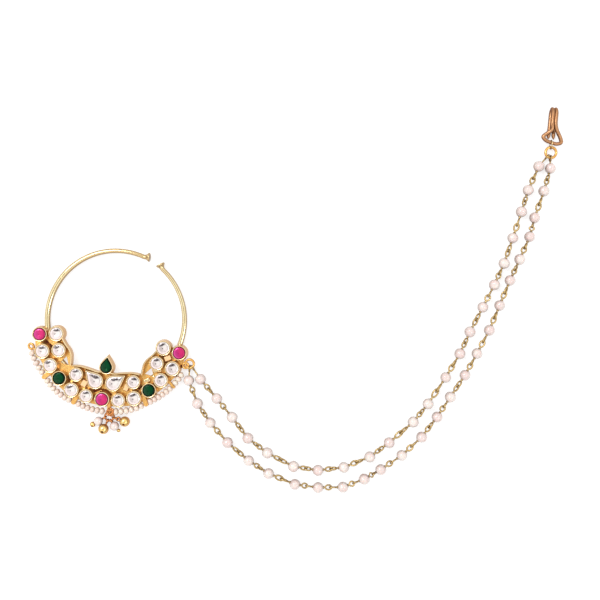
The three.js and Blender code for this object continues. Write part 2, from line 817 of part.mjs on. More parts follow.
const laidOut = new THREE.Group();
laidOut.add(crescent);
laidOut.add(
  meshOf("chain_ring", flatRing(chainRingCentre, chainRingRadius, chainRingWire), finishes.gold),
  meshOf("hook_ring", flatRing(hookRingCentre, hookRingRadius, hookRingWire), finishes.gold),
  meshOf("hook_link", hookLink(), finishes.gold),
  meshOf("pearl_strand_inner", pearlStrand(innerRoute), finishes.pearl),
  meshOf("pearl_strand_outer", pearlStrand(outerStrandRoute), finishes.pearl),
  meshOf("hair_hook", hairHook(), finishes.roseGold),
);

// The origin is under the middle of the whole piece, on the surface that it lies on.
laidOut.updateMatrixWorld(true);
const box = new THREE.Box3().setFromObject(laidOut, true);
laidOut.position.set(-(box.min.x + box.max.x) / 2, -(box.min.y + box.max.y) / 2, -box.min.z);

const nath = new THREE.Group();
nath.add(laidOut);

export default nath;
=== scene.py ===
# %% [markdown]
# # A nath: nose hoop, pearl chains and hair hook
#
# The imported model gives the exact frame: an open hoop with a crescent of set stones, seed pearls
# along its edge, four small drops, and two chains of pearls that run to a hair hook. It has few
# faces, so this lesson builds the fine version of each piece around it, in the same place, and
# gives every piece its finish.

import math
import random
from collections import namedtuple

import bmesh
import bpy
from mathutils import Matrix, Vector, noise


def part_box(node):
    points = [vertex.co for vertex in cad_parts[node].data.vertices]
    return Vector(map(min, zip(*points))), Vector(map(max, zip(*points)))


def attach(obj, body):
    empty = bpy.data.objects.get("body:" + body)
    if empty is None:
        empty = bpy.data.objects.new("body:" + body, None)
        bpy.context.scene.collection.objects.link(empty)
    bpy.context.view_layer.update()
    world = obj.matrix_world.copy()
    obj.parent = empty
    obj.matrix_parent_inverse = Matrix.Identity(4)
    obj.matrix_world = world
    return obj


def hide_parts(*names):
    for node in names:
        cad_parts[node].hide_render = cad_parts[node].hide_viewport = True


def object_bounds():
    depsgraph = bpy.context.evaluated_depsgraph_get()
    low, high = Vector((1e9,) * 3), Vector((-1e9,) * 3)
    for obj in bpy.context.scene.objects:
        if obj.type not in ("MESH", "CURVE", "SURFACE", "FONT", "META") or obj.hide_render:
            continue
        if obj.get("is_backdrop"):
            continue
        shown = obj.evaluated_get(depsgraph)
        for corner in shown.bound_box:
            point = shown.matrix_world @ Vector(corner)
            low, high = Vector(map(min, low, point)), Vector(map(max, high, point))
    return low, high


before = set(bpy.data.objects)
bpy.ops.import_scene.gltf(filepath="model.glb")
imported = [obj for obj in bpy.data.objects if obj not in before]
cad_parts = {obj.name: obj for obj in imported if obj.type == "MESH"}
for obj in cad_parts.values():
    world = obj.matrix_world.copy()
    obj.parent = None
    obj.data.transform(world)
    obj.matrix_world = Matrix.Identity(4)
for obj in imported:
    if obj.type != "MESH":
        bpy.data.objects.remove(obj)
cad_low, cad_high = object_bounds()
print("nodes in the frame:", len(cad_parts))

# %% [markdown]
# ## Where things are
#
# All sizes below are in millimetres, and `MM` turns them into Blender's metres at the last moment.
# The crescent is laid out in cups: `along` is counted round the hoop's own line from the
# crescent's middle, `out` away from the hoop's middle, both in widths of one cup. The middle ruby
# is the one stone whose place in that layout is known, so its box in the frame gives the rest.

# %% The crescent's layout
MM = 0.001
CUP = 5.3
STONE = 4.1
HOOP_RADIUS = 24.6
HOOP_SHIFT = 0.5
TILT = Matrix.Rotation(-math.radians(7.7), 3, "Z")
RUBY_OUT = 0.75

PLATE_LOW, PLATE_HIGH = 1.3, 2.2
GIRDLE, TABLE, RIM = 4.1, 4.6, 4.35


def middle_of(node):
    low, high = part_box(node)
    return (low + high) / 2 / MM


ruby = middle_of("ruby_middle")
ORIGIN = Vector((ruby.x, ruby.y, 0)) - TILT @ Vector((0, -HOOP_RADIUS - RUBY_OUT * CUP, 0))


def on_crescent(x, y, z=0.0):
    return ORIGIN + TILT @ Vector((x, y, z))


def spot(along, out, side=1, z=0.0):
    angle = side * along * CUP / HOOP_RADIUS
    radius = HOOP_RADIUS + out * CUP
    return on_crescent(radius * math.sin(angle), -radius * math.cos(angle), z)


print("crescent's origin (mm):", [round(v, 2) for v in ORIGIN])

# %% [markdown]
# ## The camera and the table
#
# The photograph looks straight down on the jewel from about 27 cm. The camera comes first, because
# its distance decides how much of each piece's side shows. The jewel lies on a plain white board
# under a large soft lamp, the usual way to light polished metal: the metal mirrors the lamp, and
# the darker room beside it draws the edges.

# %% Camera
VIEW_MIDDLE = (ORIGIN + Vector((66.45, 6.92, 0))) * MM
VIEW_HEIGHT, VIEW_WIDTH, SENSOR = 0.270, 0.216, 36


def in_scene(name, data):
    made = bpy.data.objects.new(name, data)
    bpy.context.scene.collection.objects.link(made)
    return made


camera_data = bpy.data.cameras.new("overhead_camera")
camera_data.sensor_width = SENSOR
camera_data.lens = SENSOR * VIEW_HEIGHT / VIEW_WIDTH
camera_data.clip_start = 0.01
camera = in_scene("overhead_camera", camera_data)
camera.location = VIEW_MIDDLE + Vector((0, 0, VIEW_HEIGHT))
bpy.context.scene.camera = camera
print("lens (mm):", round(camera_data.lens, 1))

# %% [markdown]
# ## Short words for node trees
#
# Every finish and every repeated piece below is a tree of nodes. These helpers keep the trees short
# enough to read: a node is added together with what feeds it, and the few sums, blends and noises
# that come back in tree after tree have names of their own.

# %% Helpers for node trees


def fill(tree, made, inputs):
    """Sets a node's sockets to values, or links them to the outputs that feed them."""
    for socket, value in inputs.items():
        if isinstance(value, bpy.types.NodeSocket):
            tree.links.new(value, made.inputs[socket])
        else:
            made.inputs[socket].default_value = value
    return made


def node(tree, kind, inputs=None, **settings):
    made = tree.nodes.new(kind)
    for name, value in settings.items():
        setattr(made, name, value)
    return fill(tree, made, inputs or {})


def calc(tree, operation, first, second=0.0):
    return node(tree, "ShaderNodeMath", {0: first, 1: second}, operation=operation).outputs[0]


def measure(tree, operation, *vectors):
    """The length of a vector, or the distance between two."""
    made = node(tree, "ShaderNodeVectorMath", dict(enumerate(vectors)), operation=operation)
    return made.outputs[1]


def solid_colour(colour):
    return colour + (1.0,) if isinstance(colour, tuple) else colour


def blend(tree, share, low, high):
    """A colour between low and high."""
    sockets = {0: share, 6: solid_colour(low), 7: solid_colour(high)}
    return node(tree, "ShaderNodeMix", sockets, data_type="RGBA").outputs[2]


def spread(tree, value, low, high, to_low=0.0, to_high=1.0):
    """Maps low..high to to_low..to_high."""
    sockets = {0: value, 1: low, 2: high, 3: to_low, 4: to_high}
    return node(tree, "ShaderNodeMapRange", sockets).outputs[0]


def axis_of(tree, vector, axis):
    return node(tree, "ShaderNodeSeparateXYZ", {0: vector}).outputs[axis]


def place_on_piece(tree):
    return node(tree, "ShaderNodeTexCoord").outputs["Object"]


def mottled(tree, scale, detail):
    """Noise fixed to the piece, so that it stays put at its real scale."""
    sockets = {"Vector": place_on_piece(tree), "Scale": scale, "Detail": detail}
    return node(tree, "ShaderNodeTexNoise", sockets).outputs[0]


def facing_up(tree):
    """One where the surface is level, zero where it stands upright."""
    return axis_of(tree, node(tree, "ShaderNodeNewGeometry").outputs["Normal"], 2)


def relief(tree, height, strength, depth):
    sockets = {"Strength": strength, "Distance": depth, "Height": height}
    return node(tree, "ShaderNodeBump", sockets).outputs[0]


def new_tree(name, kind, inputs, outputs):
    """A node group with its inputs' sockets and its output node. inputs are rows of label, kind
    of socket and, if it has one, value; outputs are rows of label and kind."""
    made = bpy.data.node_groups.new(name, kind)
    for in_out, labels in (("INPUT", inputs), ("OUTPUT", outputs)):
        for label, socket_kind, *value in labels:
            socket = made.interface.new_socket(
                name=label, in_out=in_out, socket_type="NodeSocket" + socket_kind
            )
            if value:
                socket.default_value = value[0]
    return made, made.nodes.new("NodeGroupInput").outputs, made.nodes.new("NodeGroupOutput")


def material(name):
    made = bpy.data.materials.new(name)
    made.use_nodes = True
    tree = made.node_tree
    return made, tree, tree.nodes["Principled BSDF"]


# %% [markdown]
# ## Polished metal
#
# Cast and polished metal is never one flat tone. It keeps faint ripples from the polishing wheel,
# and in random patches the plating is deeper and a little dull. One node group makes both: slow and
# fine noise on object coordinates, so that it stays put on the metal at its real scale. The group
# also says how steep the surface is, and each metal paints shade with a browner colour on its steep
# flanks, for the darker edges that polished metal shows where it mirrors the dim room beside the
# lamp. Each metal uses the group with its own colours.
#
# Between the crescent's cups gold faces gold, and the photograph's shadows there are a warm brown.
# In the render they came out nearly black. So all the metals are a little less than fully metallic,
# and the cups, walls and plate carry a weak painted glow of their own deep colour, which stands in
# for the warm light that the gold throws to and fro there.

# %% Polish marks and painted flank shade, a shared shader group
polish_and_shade, given, end = new_tree(
    "polish_marks", "ShaderNodeTree",
    [("Patch Size", "Float", 0.002), ("Grain Size", "Float", 0.0003)],
    [("Patches", "Float"), ("Height", "Float"), ("Flank", "Float")],
)
slow = mottled(polish_and_shade, calc(polish_and_shade, "DIVIDE", 1.0, given["Patch Size"]), 2.0)
fine = mottled(polish_and_shade, calc(polish_and_shade, "DIVIDE", 1.0, given["Grain Size"]), 3.0)
fill(polish_and_shade, end, {
    "Patches": spread(polish_and_shade, slow, 0.35, 0.65),
    "Height": calc(polish_and_shade, "ADD", calc(polish_and_shade, "MULTIPLY", slow, 3.0), fine),
    # Painted shade: one on steep sides, where each metal takes its browner flank colour.
    "Flank": spread(polish_and_shade, facing_up(polish_and_shade), 0.4, 0.85, 1.0, 0.0),
})

# %% Metal finishes
METALLIC, RIPPLE_DEPTH = 0.85, 0.00004
PATCH_SHADE, PATCH_DULLER = 0.35, 1.7
ALONG_Y, ALONG_Z = 1, 2


def metal(name, colours, rough, ripple, painted_shade_span=None, painted_bounce_glow=0.0):
    """Polished metal. colours are the bright face, the deep tone of random patches and of painted
    shade, and the browner painted shade of the steep flanks. The argument after ripple, when given,
    says along which axis, from which to which place in mm and how far painted shade turns the metal
    deep. The last argument is a painted glow of the deep colour, which stands in for the warm light
    that walls of gold throw on each other."""
    bright, deep, flank_shade = colours
    made, tree, shader = material(name)
    sizes = {"Patch Size": 0.0025, "Grain Size": 0.0004}
    marks = node(tree, "ShaderNodeGroup", sizes, node_tree=polish_and_shade).outputs
    shade = spread(tree, marks["Patches"], 0.0, 1.0, 0.0, PATCH_SHADE)
    # Painted shade: the metal turns deeper along one axis, as low in the cups' hollows.
    if painted_shade_span:
        axis, start, end, share = painted_shade_span
        reach = axis_of(tree, place_on_piece(tree), axis)
        shade = calc(tree, "MAXIMUM", shade, spread(tree, reach, start * MM, end * MM, 0.0, share))
    tone = blend(tree, shade, bright, deep)
    fill(tree, shader, {
        # Painted shade: steep flanks turn to the browner flank colour.
        "Base Color": blend(tree, marks["Flank"], tone, flank_shade),
        "Roughness": spread(tree, marks["Patches"], 0.0, 1.0, rough, rough * PATCH_DULLER),
        "Normal": relief(tree, marks["Height"], ripple, RIPPLE_DEPTH),
        "Metallic": METALLIC,
        # Painted light: a weak glow of the deep colour stands in for light bounced between gold
        # walls.
        "Emission Color": solid_colour(deep),
        "Emission Strength": painted_bounce_glow,
    })
    return made


# Painted shade: the hoop's gold turns deeper towards +Y, from 2 to 15 mm, standing in for the
# darker reflections on its upper part.
GOLD = metal(
    "polished_gold", [(1.0, 0.87, 0.53), (0.70, 0.48, 0.22), (0.32, 0.20, 0.09)], 0.07, 0.1,
    (ALONG_Y, 2.0, 15.0, 0.8),
)
# Painted shade: the crescent's gold turns deeper from 3.6 mm down to 2.3 mm, in the low hollows
# between the cups.
CUP_GOLD = metal(
    "crescent_gold", [(1.0, 0.86, 0.54), (0.66, 0.32, 0.06), (0.46, 0.29, 0.15)], 0.15, 0.3,
    (ALONG_Z, 3.6, 2.3, 0.85), 0.12,
)
# The crescent's gold above and this plate both carry a weak painted glow, for the light bounced
# between the cups.
PLATE_GOLD = metal(
    "plate_gold", [(0.95, 0.58, 0.18), (0.42, 0.15, 0.02), (0.45, 0.22, 0.07)], 0.2, 1.0,
    painted_bounce_glow=0.16,
)
SHEET_GOLD = metal(
    "satin_sheet", [(0.92, 0.64, 0.36), (0.84, 0.48, 0.20), (0.50, 0.24, 0.07)], 0.36, 0.3
)
PIN_GOLD = metal(
    "thin_wire_gold", [(0.58, 0.42, 0.18), (0.40, 0.25, 0.08), (0.22, 0.12, 0.04)], 0.28, 0.2
)
BALL_GOLD = metal(
    "ball_gold", [(1.0, 0.75, 0.31), (0.90, 0.52, 0.13), (0.46, 0.20, 0.04)], 0.12, 0.1
)
COPPER = metal(
    "copper_wire", [(0.78, 0.34, 0.12), (0.52, 0.16, 0.04), (0.30, 0.09, 0.02)], 0.25, 0.2
)
ROSE_GOLD = metal(
    "copper_gold", [(0.56, 0.30, 0.15), (0.40, 0.17, 0.065), (0.18, 0.06, 0.02)], 0.3, 0.1
)
METALS = (GOLD, CUP_GOLD, PLATE_GOLD, SHEET_GOLD, PIN_GOLD, BALL_GOLD, COPPER, ROSE_GOLD)
print("metals:", [m.name for m in METALS])

# %% [markdown]
# ## Pearls
#
# A pearl's lustre is a soft white sheen over a slightly pink or cream body. A clear coat over a
# rougher body gives the two highlights, one sharp and one wide, and a little subsurface light keeps
# the dark side warm. Towards its edge, where its surface stands upright, a pearl is painted deeper
# and browner: painted shade for the darker rim that it shows under light from above.

# %% Pearl finishes


def pearl_finish(name, cream, pink, grey, rim):
    made, tree, shader = material(name)
    body, cloud = mottled(tree, 170.0, 1.0), mottled(tree, 900.0, 3.0)
    tone = blend(tree, spread(tree, body, 0.4, 0.6), cream, pink)
    tone = blend(tree, spread(tree, cloud, 0.5, 0.85, 0.0, 0.45), tone, grey)
    # Painted shade: where the surface stands upright, at the pearl's edge, the colour turns to rim.
    tone = blend(tree, spread(tree, facing_up(tree), 0.15, 0.72, 1.0, 0.0), tone, rim)
    fill(tree, shader, {
        "Base Color": tone,
        "Roughness": spread(tree, cloud, 0.3, 0.7, 0.22, 0.34),
        "Normal": relief(tree, cloud, 0.2, 0.00005),
        "Coat Weight": 1.0,
        "Coat Roughness": 0.05,
        "Subsurface Weight": 0.2,
        "Subsurface Radius": (1.0, 0.6, 0.5),
        "Subsurface Scale": 0.0006,
    })
    return made


# The last colour of each pearl finish is the painted shade at its edge.
PEARL = pearl_finish(
    "chain_pearl", (0.84, 0.75, 0.70), (0.78, 0.64, 0.61), (0.66, 0.52, 0.52), (0.28, 0.18, 0.14)
)
SEED = pearl_finish(
    "seed_pearl", (0.86, 0.75, 0.63), (0.82, 0.67, 0.59), (0.70, 0.57, 0.50), (0.54, 0.38, 0.28)
)
THREAD, tree, shader = material("thread")
twist = node(tree, "ShaderNodeTexWave", {"Scale": 3000.0, "Distortion": 1.0}).outputs["Fac"]
plies = blend(tree, twist, (0.62, 0.50, 0.36), (0.85, 0.77, 0.62))
fill(tree, shader, {"Base Color": plies, "Roughness": 0.8})

# %% [markdown]
# ## Stones on foil
#
# Kundan stones are pieces of clear glass set over silver foil, and here the red and green ones are
# made the same way. What the eye sees is the foil through the glass: cut planes that flash
# separately, and the dim room reflected dark in the cut. Those reflections are painted into the
# colour: a dark dot where the cut comes to a point, and a dark streaky patch near one edge. The
# stone keeps a true shape outside, and its body carries the foil as a normal map built from nodes,
# under a smooth clear coat that stands for the polished face. Each stone's own UV map has its
# middle at zero and its edge at one.

# %% The cut seen through the glass and its painted reflections, a shared shader group
cut, given, end = new_tree(
    "foil_cut", "ShaderNodeTree", [("Planes", "Float", 8.0), ("Wrinkle", "Float", 1.0)],
    [(label, "Float") for label in ("Height", "Edge", "Point", "Smudge", "Lower", "Left")],
)
own = node(cut, "ShaderNodeUVMap").outputs[0]
split = node(cut, "ShaderNodeSeparateXYZ", {0: own}).outputs
radius = measure(cut, "LENGTH", own)
angle = calc(cut, "ARCTAN2", split[1], split[0])
folded = calc(cut, "PINGPONG", angle, calc(cut, "DIVIDE", math.pi, given["Planes"]))
across = calc(cut, "MULTIPLY", radius, calc(cut, "COSINE", folded))
# Painted reflection: the dark dot where the cut comes to a point.
from_point = measure(cut, "DISTANCE", own, (-0.1, -0.06, 0.0))
# Painted reflection: a dark streaky patch near the upper edge, the dim room seen in the cut.
sockets = {"Vector": own, "Rotation": (0, 0, 0.4), "Scale": (9.0, 3.0, 1.0)}
drawn_out = node(cut, "ShaderNodeMapping", sockets).outputs[0]
sockets = {"Vector": drawn_out, "Scale": 1.0, "Detail": 4.0}
streaks = node(cut, "ShaderNodeTexNoise", sockets).outputs[0]
upper = node(cut, "ShaderNodeCombineXYZ", {0: calc(cut, "MULTIPLY", split[0], 0.45), 1: split[1]})
from_top = measure(cut, "DISTANCE", upper.outputs[0], (0.0, 0.58, 0.0))
patch = spread(cut, from_top, 0.17, 0.31, 1.0, 0.0)
painted_streaks = calc(cut, "MULTIPLY", patch, spread(cut, streaks, 0.3, 0.46))
fill(cut, end, {
    "Height": calc(cut, "POWER", across, 1.4),
    "Edge": spread(cut, radius, 0.7, 1.0),
    "Point": spread(cut, from_point, 0.05, 0.11, 1.0, 0.0),
    "Smudge": calc(cut, "MULTIPLY", painted_streaks, given["Wrinkle"]),
    "Lower": spread(cut, split[1], 0.2, -0.9),
    "Left": spread(cut, split[0], 0.2, -0.6),
})

# %% Stone finishes
RIM_SOFTNESS = 0.45


def stone_finish(name, colours, metallic, wrinkle, planes, bump, rim_from, coat):
    """colours are the body, its lower part, its left part, the rim and the dark of the painted
    reflections, the dot and the streaky patch.
    """
    body, low, left, rim, dot = colours
    made, tree, shader = material(name)
    sockets = {"Planes": planes, "Wrinkle": wrinkle}
    foil = node(tree, "ShaderNodeGroup", sockets, node_tree=cut).outputs
    tone = body
    # The streaky patch and the dot are painted reflections, both in the last colour.
    for mask, colour in (("Lower", low), ("Left", left), ("Smudge", dot), ("Point", dot)):
        tone = blend(tree, foil[mask], tone, colour)
    edge = spread(tree, foil["Edge"], rim_from, rim_from + RIM_SOFTNESS)
    fill(tree, shader, {
        "Base Color": blend(tree, edge, tone, rim),
        "Normal": relief(tree, foil["Height"], bump, 0.0004),
        "Metallic": metallic,
        "Roughness": 0.16,
        "Specular IOR Level": 0.5 * coat,
        "Coat Weight": coat,
        "Coat Roughness": 0.02,
        "Coat IOR": 1.55,
    })
    return made


KUNDAN = [
    (0.95, 0.90, 0.86), (0.90, 0.76, 0.75), (0.88, 0.75, 0.73), (0.46, 0.40, 0.28),
    (0.05, 0.03, 0.04),
]
RUBY = [
    (0.68, 0.030, 0.17), (0.58, 0.02, 0.14), (0.64, 0.05, 0.27), (0.05, 0.0, 0.01),
    (0.5, 0.02, 0.16),
]
EMERALD = [
    (0.002, 0.060, 0.020), (0.001, 0.032, 0.010), (0.02, 0.075, 0.036), (0.0, 0.003, 0.001),
    (0.001, 0.025, 0.008),
]
FINISHES = {
    "kundan": stone_finish("kundan_glass", KUNDAN, 0.5, 1.0, 8.0, 0.5, 0.5, 0.8),
    "ruby": stone_finish("ruby_glass", RUBY, 0.35, 0.0, 10.0, 0.5, 0.3, 0.3),
    "emerald": stone_finish("emerald_glass", EMERALD, 0.35, 0.0, 8.0, 0.8, 0.05, 0.08),
}
print("stone finishes:", sorted(FINISHES))

# %% [markdown]
# ## Shapes gathered point by point
#
# Small cast pieces, such as the cups and the flares, are plain mesh work. `Shape` gathers points
# in millimetres and their faces, and then makes one object whose origin is the frame's own, so
# that its place is in its mesh. Round wires come as a row of points with a thickness at each, and
# one Geometry Nodes tree turns all of them into metal further down.

# %% Shape, the gatherer
X, Y, UP = Vector((1, 0, 0)), Vector((0, 1, 0)), Vector((0, 0, 1))


def mesh_from(name, points, edges=(), faces=()):
    """A mesh from points in millimetres."""
    mesh = bpy.data.meshes.new(name)
    mesh.from_pydata([p * MM for p in points], edges, faces)
    return mesh


def edges_along(line, start=0):
    return [(start + i, start + i + 1) for i in range(len(line) - 1)]


class Shape:
    def __init__(self):
        self.points, self.faces, self.marks = [], [], []

    def bands(self, rings, closed=False):
        """Joins rings of equally many points into a skin, and closes its ends."""
        sides, start = len(rings[0]), len(self.points)
        faces = []
        for k in range(len(rings) if closed else len(rings) - 1):
            low, high = k * sides, ((k + 1) % len(rings)) * sides
            for i in range(sides):
                j = (i + 1) % sides
                faces.append([low + i, low + j, high + j, high + i])
        if not closed:
            faces.append(list(range(sides))[::-1])
            faces.append([(len(rings) - 1) * sides + i for i in range(sides)])
        self.points += [p for ring in rings for p in ring]
        self.faces += [[start + i for i in face] for face in faces]
        self.marks += [(0.0, 0.0)] * (sides * len(rings))

    def piece(self, name, finish, slot, nodes, sharp=35):
        mesh = mesh_from(name, self.points, [], self.faces)
        layer = mesh.uv_layers.new(name="UVMap")
        for loop in mesh.loops:
            layer.data[loop.index].uv = self.marks[loop.vertex_index]
        mesh.materials.append(finish)
        return finished(in_scene(name, mesh), nodes, sharp)


def finished(made, nodes, sharp):
    """Turns the faces outwards, smooths all but the sharp edges, hangs the piece under the root
    body and hides the frame's nodes that it stands for.
    """
    work = bmesh.new()
    work.from_mesh(made.data)
    bmesh.ops.recalc_face_normals(work, faces=work.faces)
    work.to_mesh(made.data)
    work.free()
    made.data.shade_smooth()
    made.data.set_sharp_from_angle(angle=math.radians(sharp))
    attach(made, "root")
    if nodes:
        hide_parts(*nodes)
    return made


def circle(count, radius=1.0):
    turns = [2 * math.pi * i / count for i in range(count)]
    return [Vector((radius * math.cos(a), radius * math.sin(a), 0)) for a in turns]


def curve_through(corners, count, closed=False):
    """A smooth line through the corners, the same centripetal curve that the frame uses."""
    size = len(corners)

    def corner(i):
        if closed:
            return corners[i % size]
        if i < 0:
            return corners[0] * 2 - corners[1]
        return corners[i] if i < size else corners[-1] * 2 - corners[-2]

    points = []
    for step in range(count + (0 if closed else 1)):
        t = step / count * (size if closed else size - 1)
        i = min(int(t), size - (1 if closed else 2))
        share = t - i
        p0, p1, p2, p3 = (corner(i + k) for k in (-1, 0, 1, 2))
        d0, d1, d2 = (max((b - a).length, 1e-6) ** 0.5 for a, b in ((p0, p1), (p1, p2), (p2, p3)))
        m1 = ((p1 - p0) / d0 - (p2 - p0) / (d0 + d1) + (p2 - p1) / d1) * d1
        m2 = ((p2 - p1) / d1 - (p3 - p1) / (d1 + d2) + (p3 - p2) / d2) * d1
        a = p1 * 2 - p2 * 2 + m1 + m2
        b = p2 * 3 - p1 * 3 - m1 * 2 - m2
        points.append(((a * share + b) * share + m1) * share + p1)
    return points


# %% [markdown]
# ## Round wire from one node tree
#
# The hoop, the rings, the eyes, the pins and the hook are all round wire along a line. Each is
# drawn as a bare line of edges whose points carry their own thickness. The tree turns the lines
# into curves, reads the thickness, sweeps a circle along them and closes the ends. The number of
# sides is a named input. `new_from_object` then turns the result into a plain mesh.

# %% The wire tree


def geometry_tree(name, inputs):
    return new_tree(name, "GeometryNodeTree", inputs, [("Geometry", "Geometry")])


def named(tree, name, kind):
    return node(tree, "GeometryNodeInputNamedAttribute", {"Name": name}, data_type=kind).outputs[0]


def hand_out(tree, given, end, geometry):
    """Makes all instances real, gives them the finish and ends the tree."""
    solid = node(tree, "GeometryNodeRealizeInstances", {"Geometry": geometry})
    sockets = {"Geometry": solid.outputs[0], "Material": given["Finish"]}
    painted = node(tree, "GeometryNodeSetMaterial", sockets)
    fill(tree, end, {"Geometry": painted.outputs[0]})


wire_tree, given, end = geometry_tree(
    "round_wire", [("Lines", "Geometry"), ("Sides", "Int"), ("Finish", "Material")]
)
thickness = named(wire_tree, "thickness", "FLOAT")
lines = node(wire_tree, "GeometryNodeMeshToCurve", {"Mesh": given["Lines"]}).outputs[0]
sized = node(wire_tree, "GeometryNodeSetCurveRadius", {"Curve": lines, "Radius": thickness})
sockets = {"Resolution": given["Sides"], "Radius": 0.5}
profile = node(wire_tree, "GeometryNodeCurvePrimitiveCircle", sockets)
sockets = {"Curve": sized.outputs[0], "Profile Curve": profile.outputs[0], "Fill Caps": True}
swept = node(wire_tree, "GeometryNodeCurveToMesh", sockets)
if "Scale" in swept.inputs:
    fill(wire_tree, swept, {"Scale": thickness})
hand_out(wire_tree, given, end, swept.outputs[0])

# %% Running a tree


def set_inputs(modifier, values):
    for item in modifier.node_group.interface.items_tree:
        if item.item_type == "SOCKET" and item.in_out == "INPUT" and item.name in values:
            modifier[item.identifier] = values[item.name]


def grown(name, base, tree, values, nodes, sharp=40):
    """Runs a tree on a bare mesh and keeps its result as a plain mesh."""
    made = in_scene(name, base)
    modifier = made.modifiers.new("tree", "NODES")
    modifier.node_group = tree
    set_inputs(modifier, values)
    evaluated = made.evaluated_get(bpy.context.evaluated_depsgraph_get())
    mesh = bpy.data.meshes.new_from_object(evaluated)
    made.modifiers.clear()
    made.data = mesh
    mesh.name = name
    return finished(made, nodes, sharp)


def wires(name, paths, finish, nodes, sides=16):
    """paths are rows of (points, thickness, closed). thickness is one number or one a point."""
    points, edges, widths = [], [], []
    for line, width, closed in paths:
        start = len(points)
        points += line
        widths += [w * MM for w in (width if isinstance(width, list) else [width] * len(line))]
        edges += edges_along(line, start)
        if closed:
            edges.append((len(points) - 1, start))
    base = mesh_from(name + "_lines", points, edges)
    base.attributes.new("thickness", "FLOAT", "POINT").data.foreach_set("value", widths)
    made = grown(name, base, wire_tree, {"Sides": sides, "Finish": finish}, nodes)
    print(name, "has", len(made.data.polygons), "faces, in", len(paths), "wires")
    return made


# %% [markdown]
# ## The hoop
#
# The hoop is the one long line of the jewel: a round bar bent to a circle of 25 mm, open at the
# upper right, where it thins a little and rises from the table so that its flared ends clear it.
# Its shape follows a rule, so it is drawn with the rule and swept by the wire tree. The flares are
# turned on a lathe: one outline, spun round the wire's own direction.

# %% Hoop and flares
HOOP_WIRE, TIP_WIRE = 2.0, 1.6
GAP_PLACE = math.radians(63.9)
FLARE, FLARE_WIDTH, FLARE_TURN = 2.1, 3.3, math.radians(20)
GAP, RISE_FROM = 3.9, 0.45
HALF_GAP = (GAP / 2 + FLARE) / HOOP_RADIUS
HOOP_STEPS = 240


def smooth_step(value, low, high):
    share = min(max((value - low) / (high - low), 0), 1)
    return share * share * (3 - 2 * share)


def end_share(t):
    """Zero along most of the hoop, rising to one at both free ends."""
    return smooth_step(abs(2 * t - 1), RISE_FROM, 1)


def hoop_point(t):
    angle = GAP_PLACE - HALF_GAP + t * (2 * HALF_GAP - 2 * math.pi)
    height = HOOP_WIRE / 2 + end_share(t) * (FLARE_WIDTH - HOOP_WIRE) / 2
    x, y = HOOP_SHIFT + HOOP_RADIUS * math.cos(angle), HOOP_RADIUS * math.sin(angle)
    return on_crescent(x, y, height), angle


def lathe(shape, outline, start, heading, sides=48):
    """Spins (along, radius) rows round a line from start in a direction."""
    across = heading.cross(UP).normalized()
    up = across.cross(heading)
    rings = []
    for along, radius in outline:
        turns = circle(sides, max(radius, 0.002))
        rings.append([start + heading * along + across * p.x + up * p.y for p in turns])
    shape.bands(rings)


steps = [i / HOOP_STEPS for i in range(HOOP_STEPS + 1)]
hoop_line = [hoop_point(t)[0] for t in steps]
hoop_width = [HOOP_WIRE + (TIP_WIRE - HOOP_WIRE) * end_share(t) for t in steps]
wires("hoop", [(hoop_line, hoop_width, False)], GOLD, ["gold_frame"], 32)

wire, rim = TIP_WIRE / 2, FLARE_WIDTH / 2
flare_outline = [
    (-wire, 0.0), (-0.7 * wire, 0.7 * wire), (0.0, wire), (0.42, 1.02 * wire), (0.9, 1.22 * wire),
    (1.3, wire + 0.55 * (rim - wire)), (1.62, rim - 0.08), (1.75, rim), (FLARE - 0.08, rim),
    (FLARE, rim - 0.08), (FLARE, rim - 0.45), (FLARE - 0.12, rim - 0.6), (FLARE - 0.12, 0.0),
]
flares = Shape()
for t, side in ((0.0, 1), (1.0, -1)):
    point, angle = hoop_point(t)
    heading = angle + side * (math.pi / 2 - FLARE_TURN)
    direction = TILT @ Vector((math.cos(heading), math.sin(heading), 0))
    lathe(flares, flare_outline, point, direction)
flares.piece("hoop_flares", GOLD, "gold", ["gold_frame"], 50)
print("hoop outside (mm):", round(2 * HOOP_RADIUS + HOOP_WIRE, 1))

# %% [markdown]
# ## The crescent's plate, walls and windows
#
# Behind the stones lies a plate, pierced by two small windows. A flat Blender curve is the simplest
# way to a plate with holes: its closed splines fill as one face, inner ones as openings, and the
# curve's own bevel rounds the edges. The standing walls, which draw the two side loops and the
# scalloped rim, are a band swept along the same lines.

# %% Outlines of the crescent
LOOP = [(5.05, -1.02), (4.43, -1.06), (3.9, -1.1), (3.46, -1.0), (3.1, -0.74), (2.84, -0.46)]
SCALLOP = [(2.72, -0.52), (2.21, -0.82), (1.38, -0.98), (0.72, -0.99), (0.36, -1.06)]
OUTER = [
    (0, 1.22), (0.94, 1.24), (1.84, 1.29), (2.81, 1.15), (3.73, 1.03), (4.71, 1.0), (5.5, 0.8),
    (5.86, 0.1), (5.7, -0.6),
]
WINDOW, WINDOW_REACH, WINDOW_TURN = (3.38, -0.3), 1.9, 10
CORNER_FROM, CORNER_TIP = 0.16, 0.04


def window(side):
    """A triangle with softened corners, turned the same way on both sides."""
    points = []
    for i in range(3):
        angle = math.radians(90 + 120 * i - WINDOW_TURN)
        corner = Vector((math.cos(angle), math.sin(angle), 0)) * WINDOW_REACH
        points.append(spot(*WINDOW, side) + TILT @ corner)
    corners = []
    for i, corner in enumerate(points):
        before, after = points[i - 1], points[(i + 1) % 3]
        corners += [corner.lerp(before, CORNER_FROM), corner.lerp(before, CORNER_TIP)]
        corners += [corner.lerp(after, CORNER_TIP), corner.lerp(after, CORNER_FROM)]
    return corners


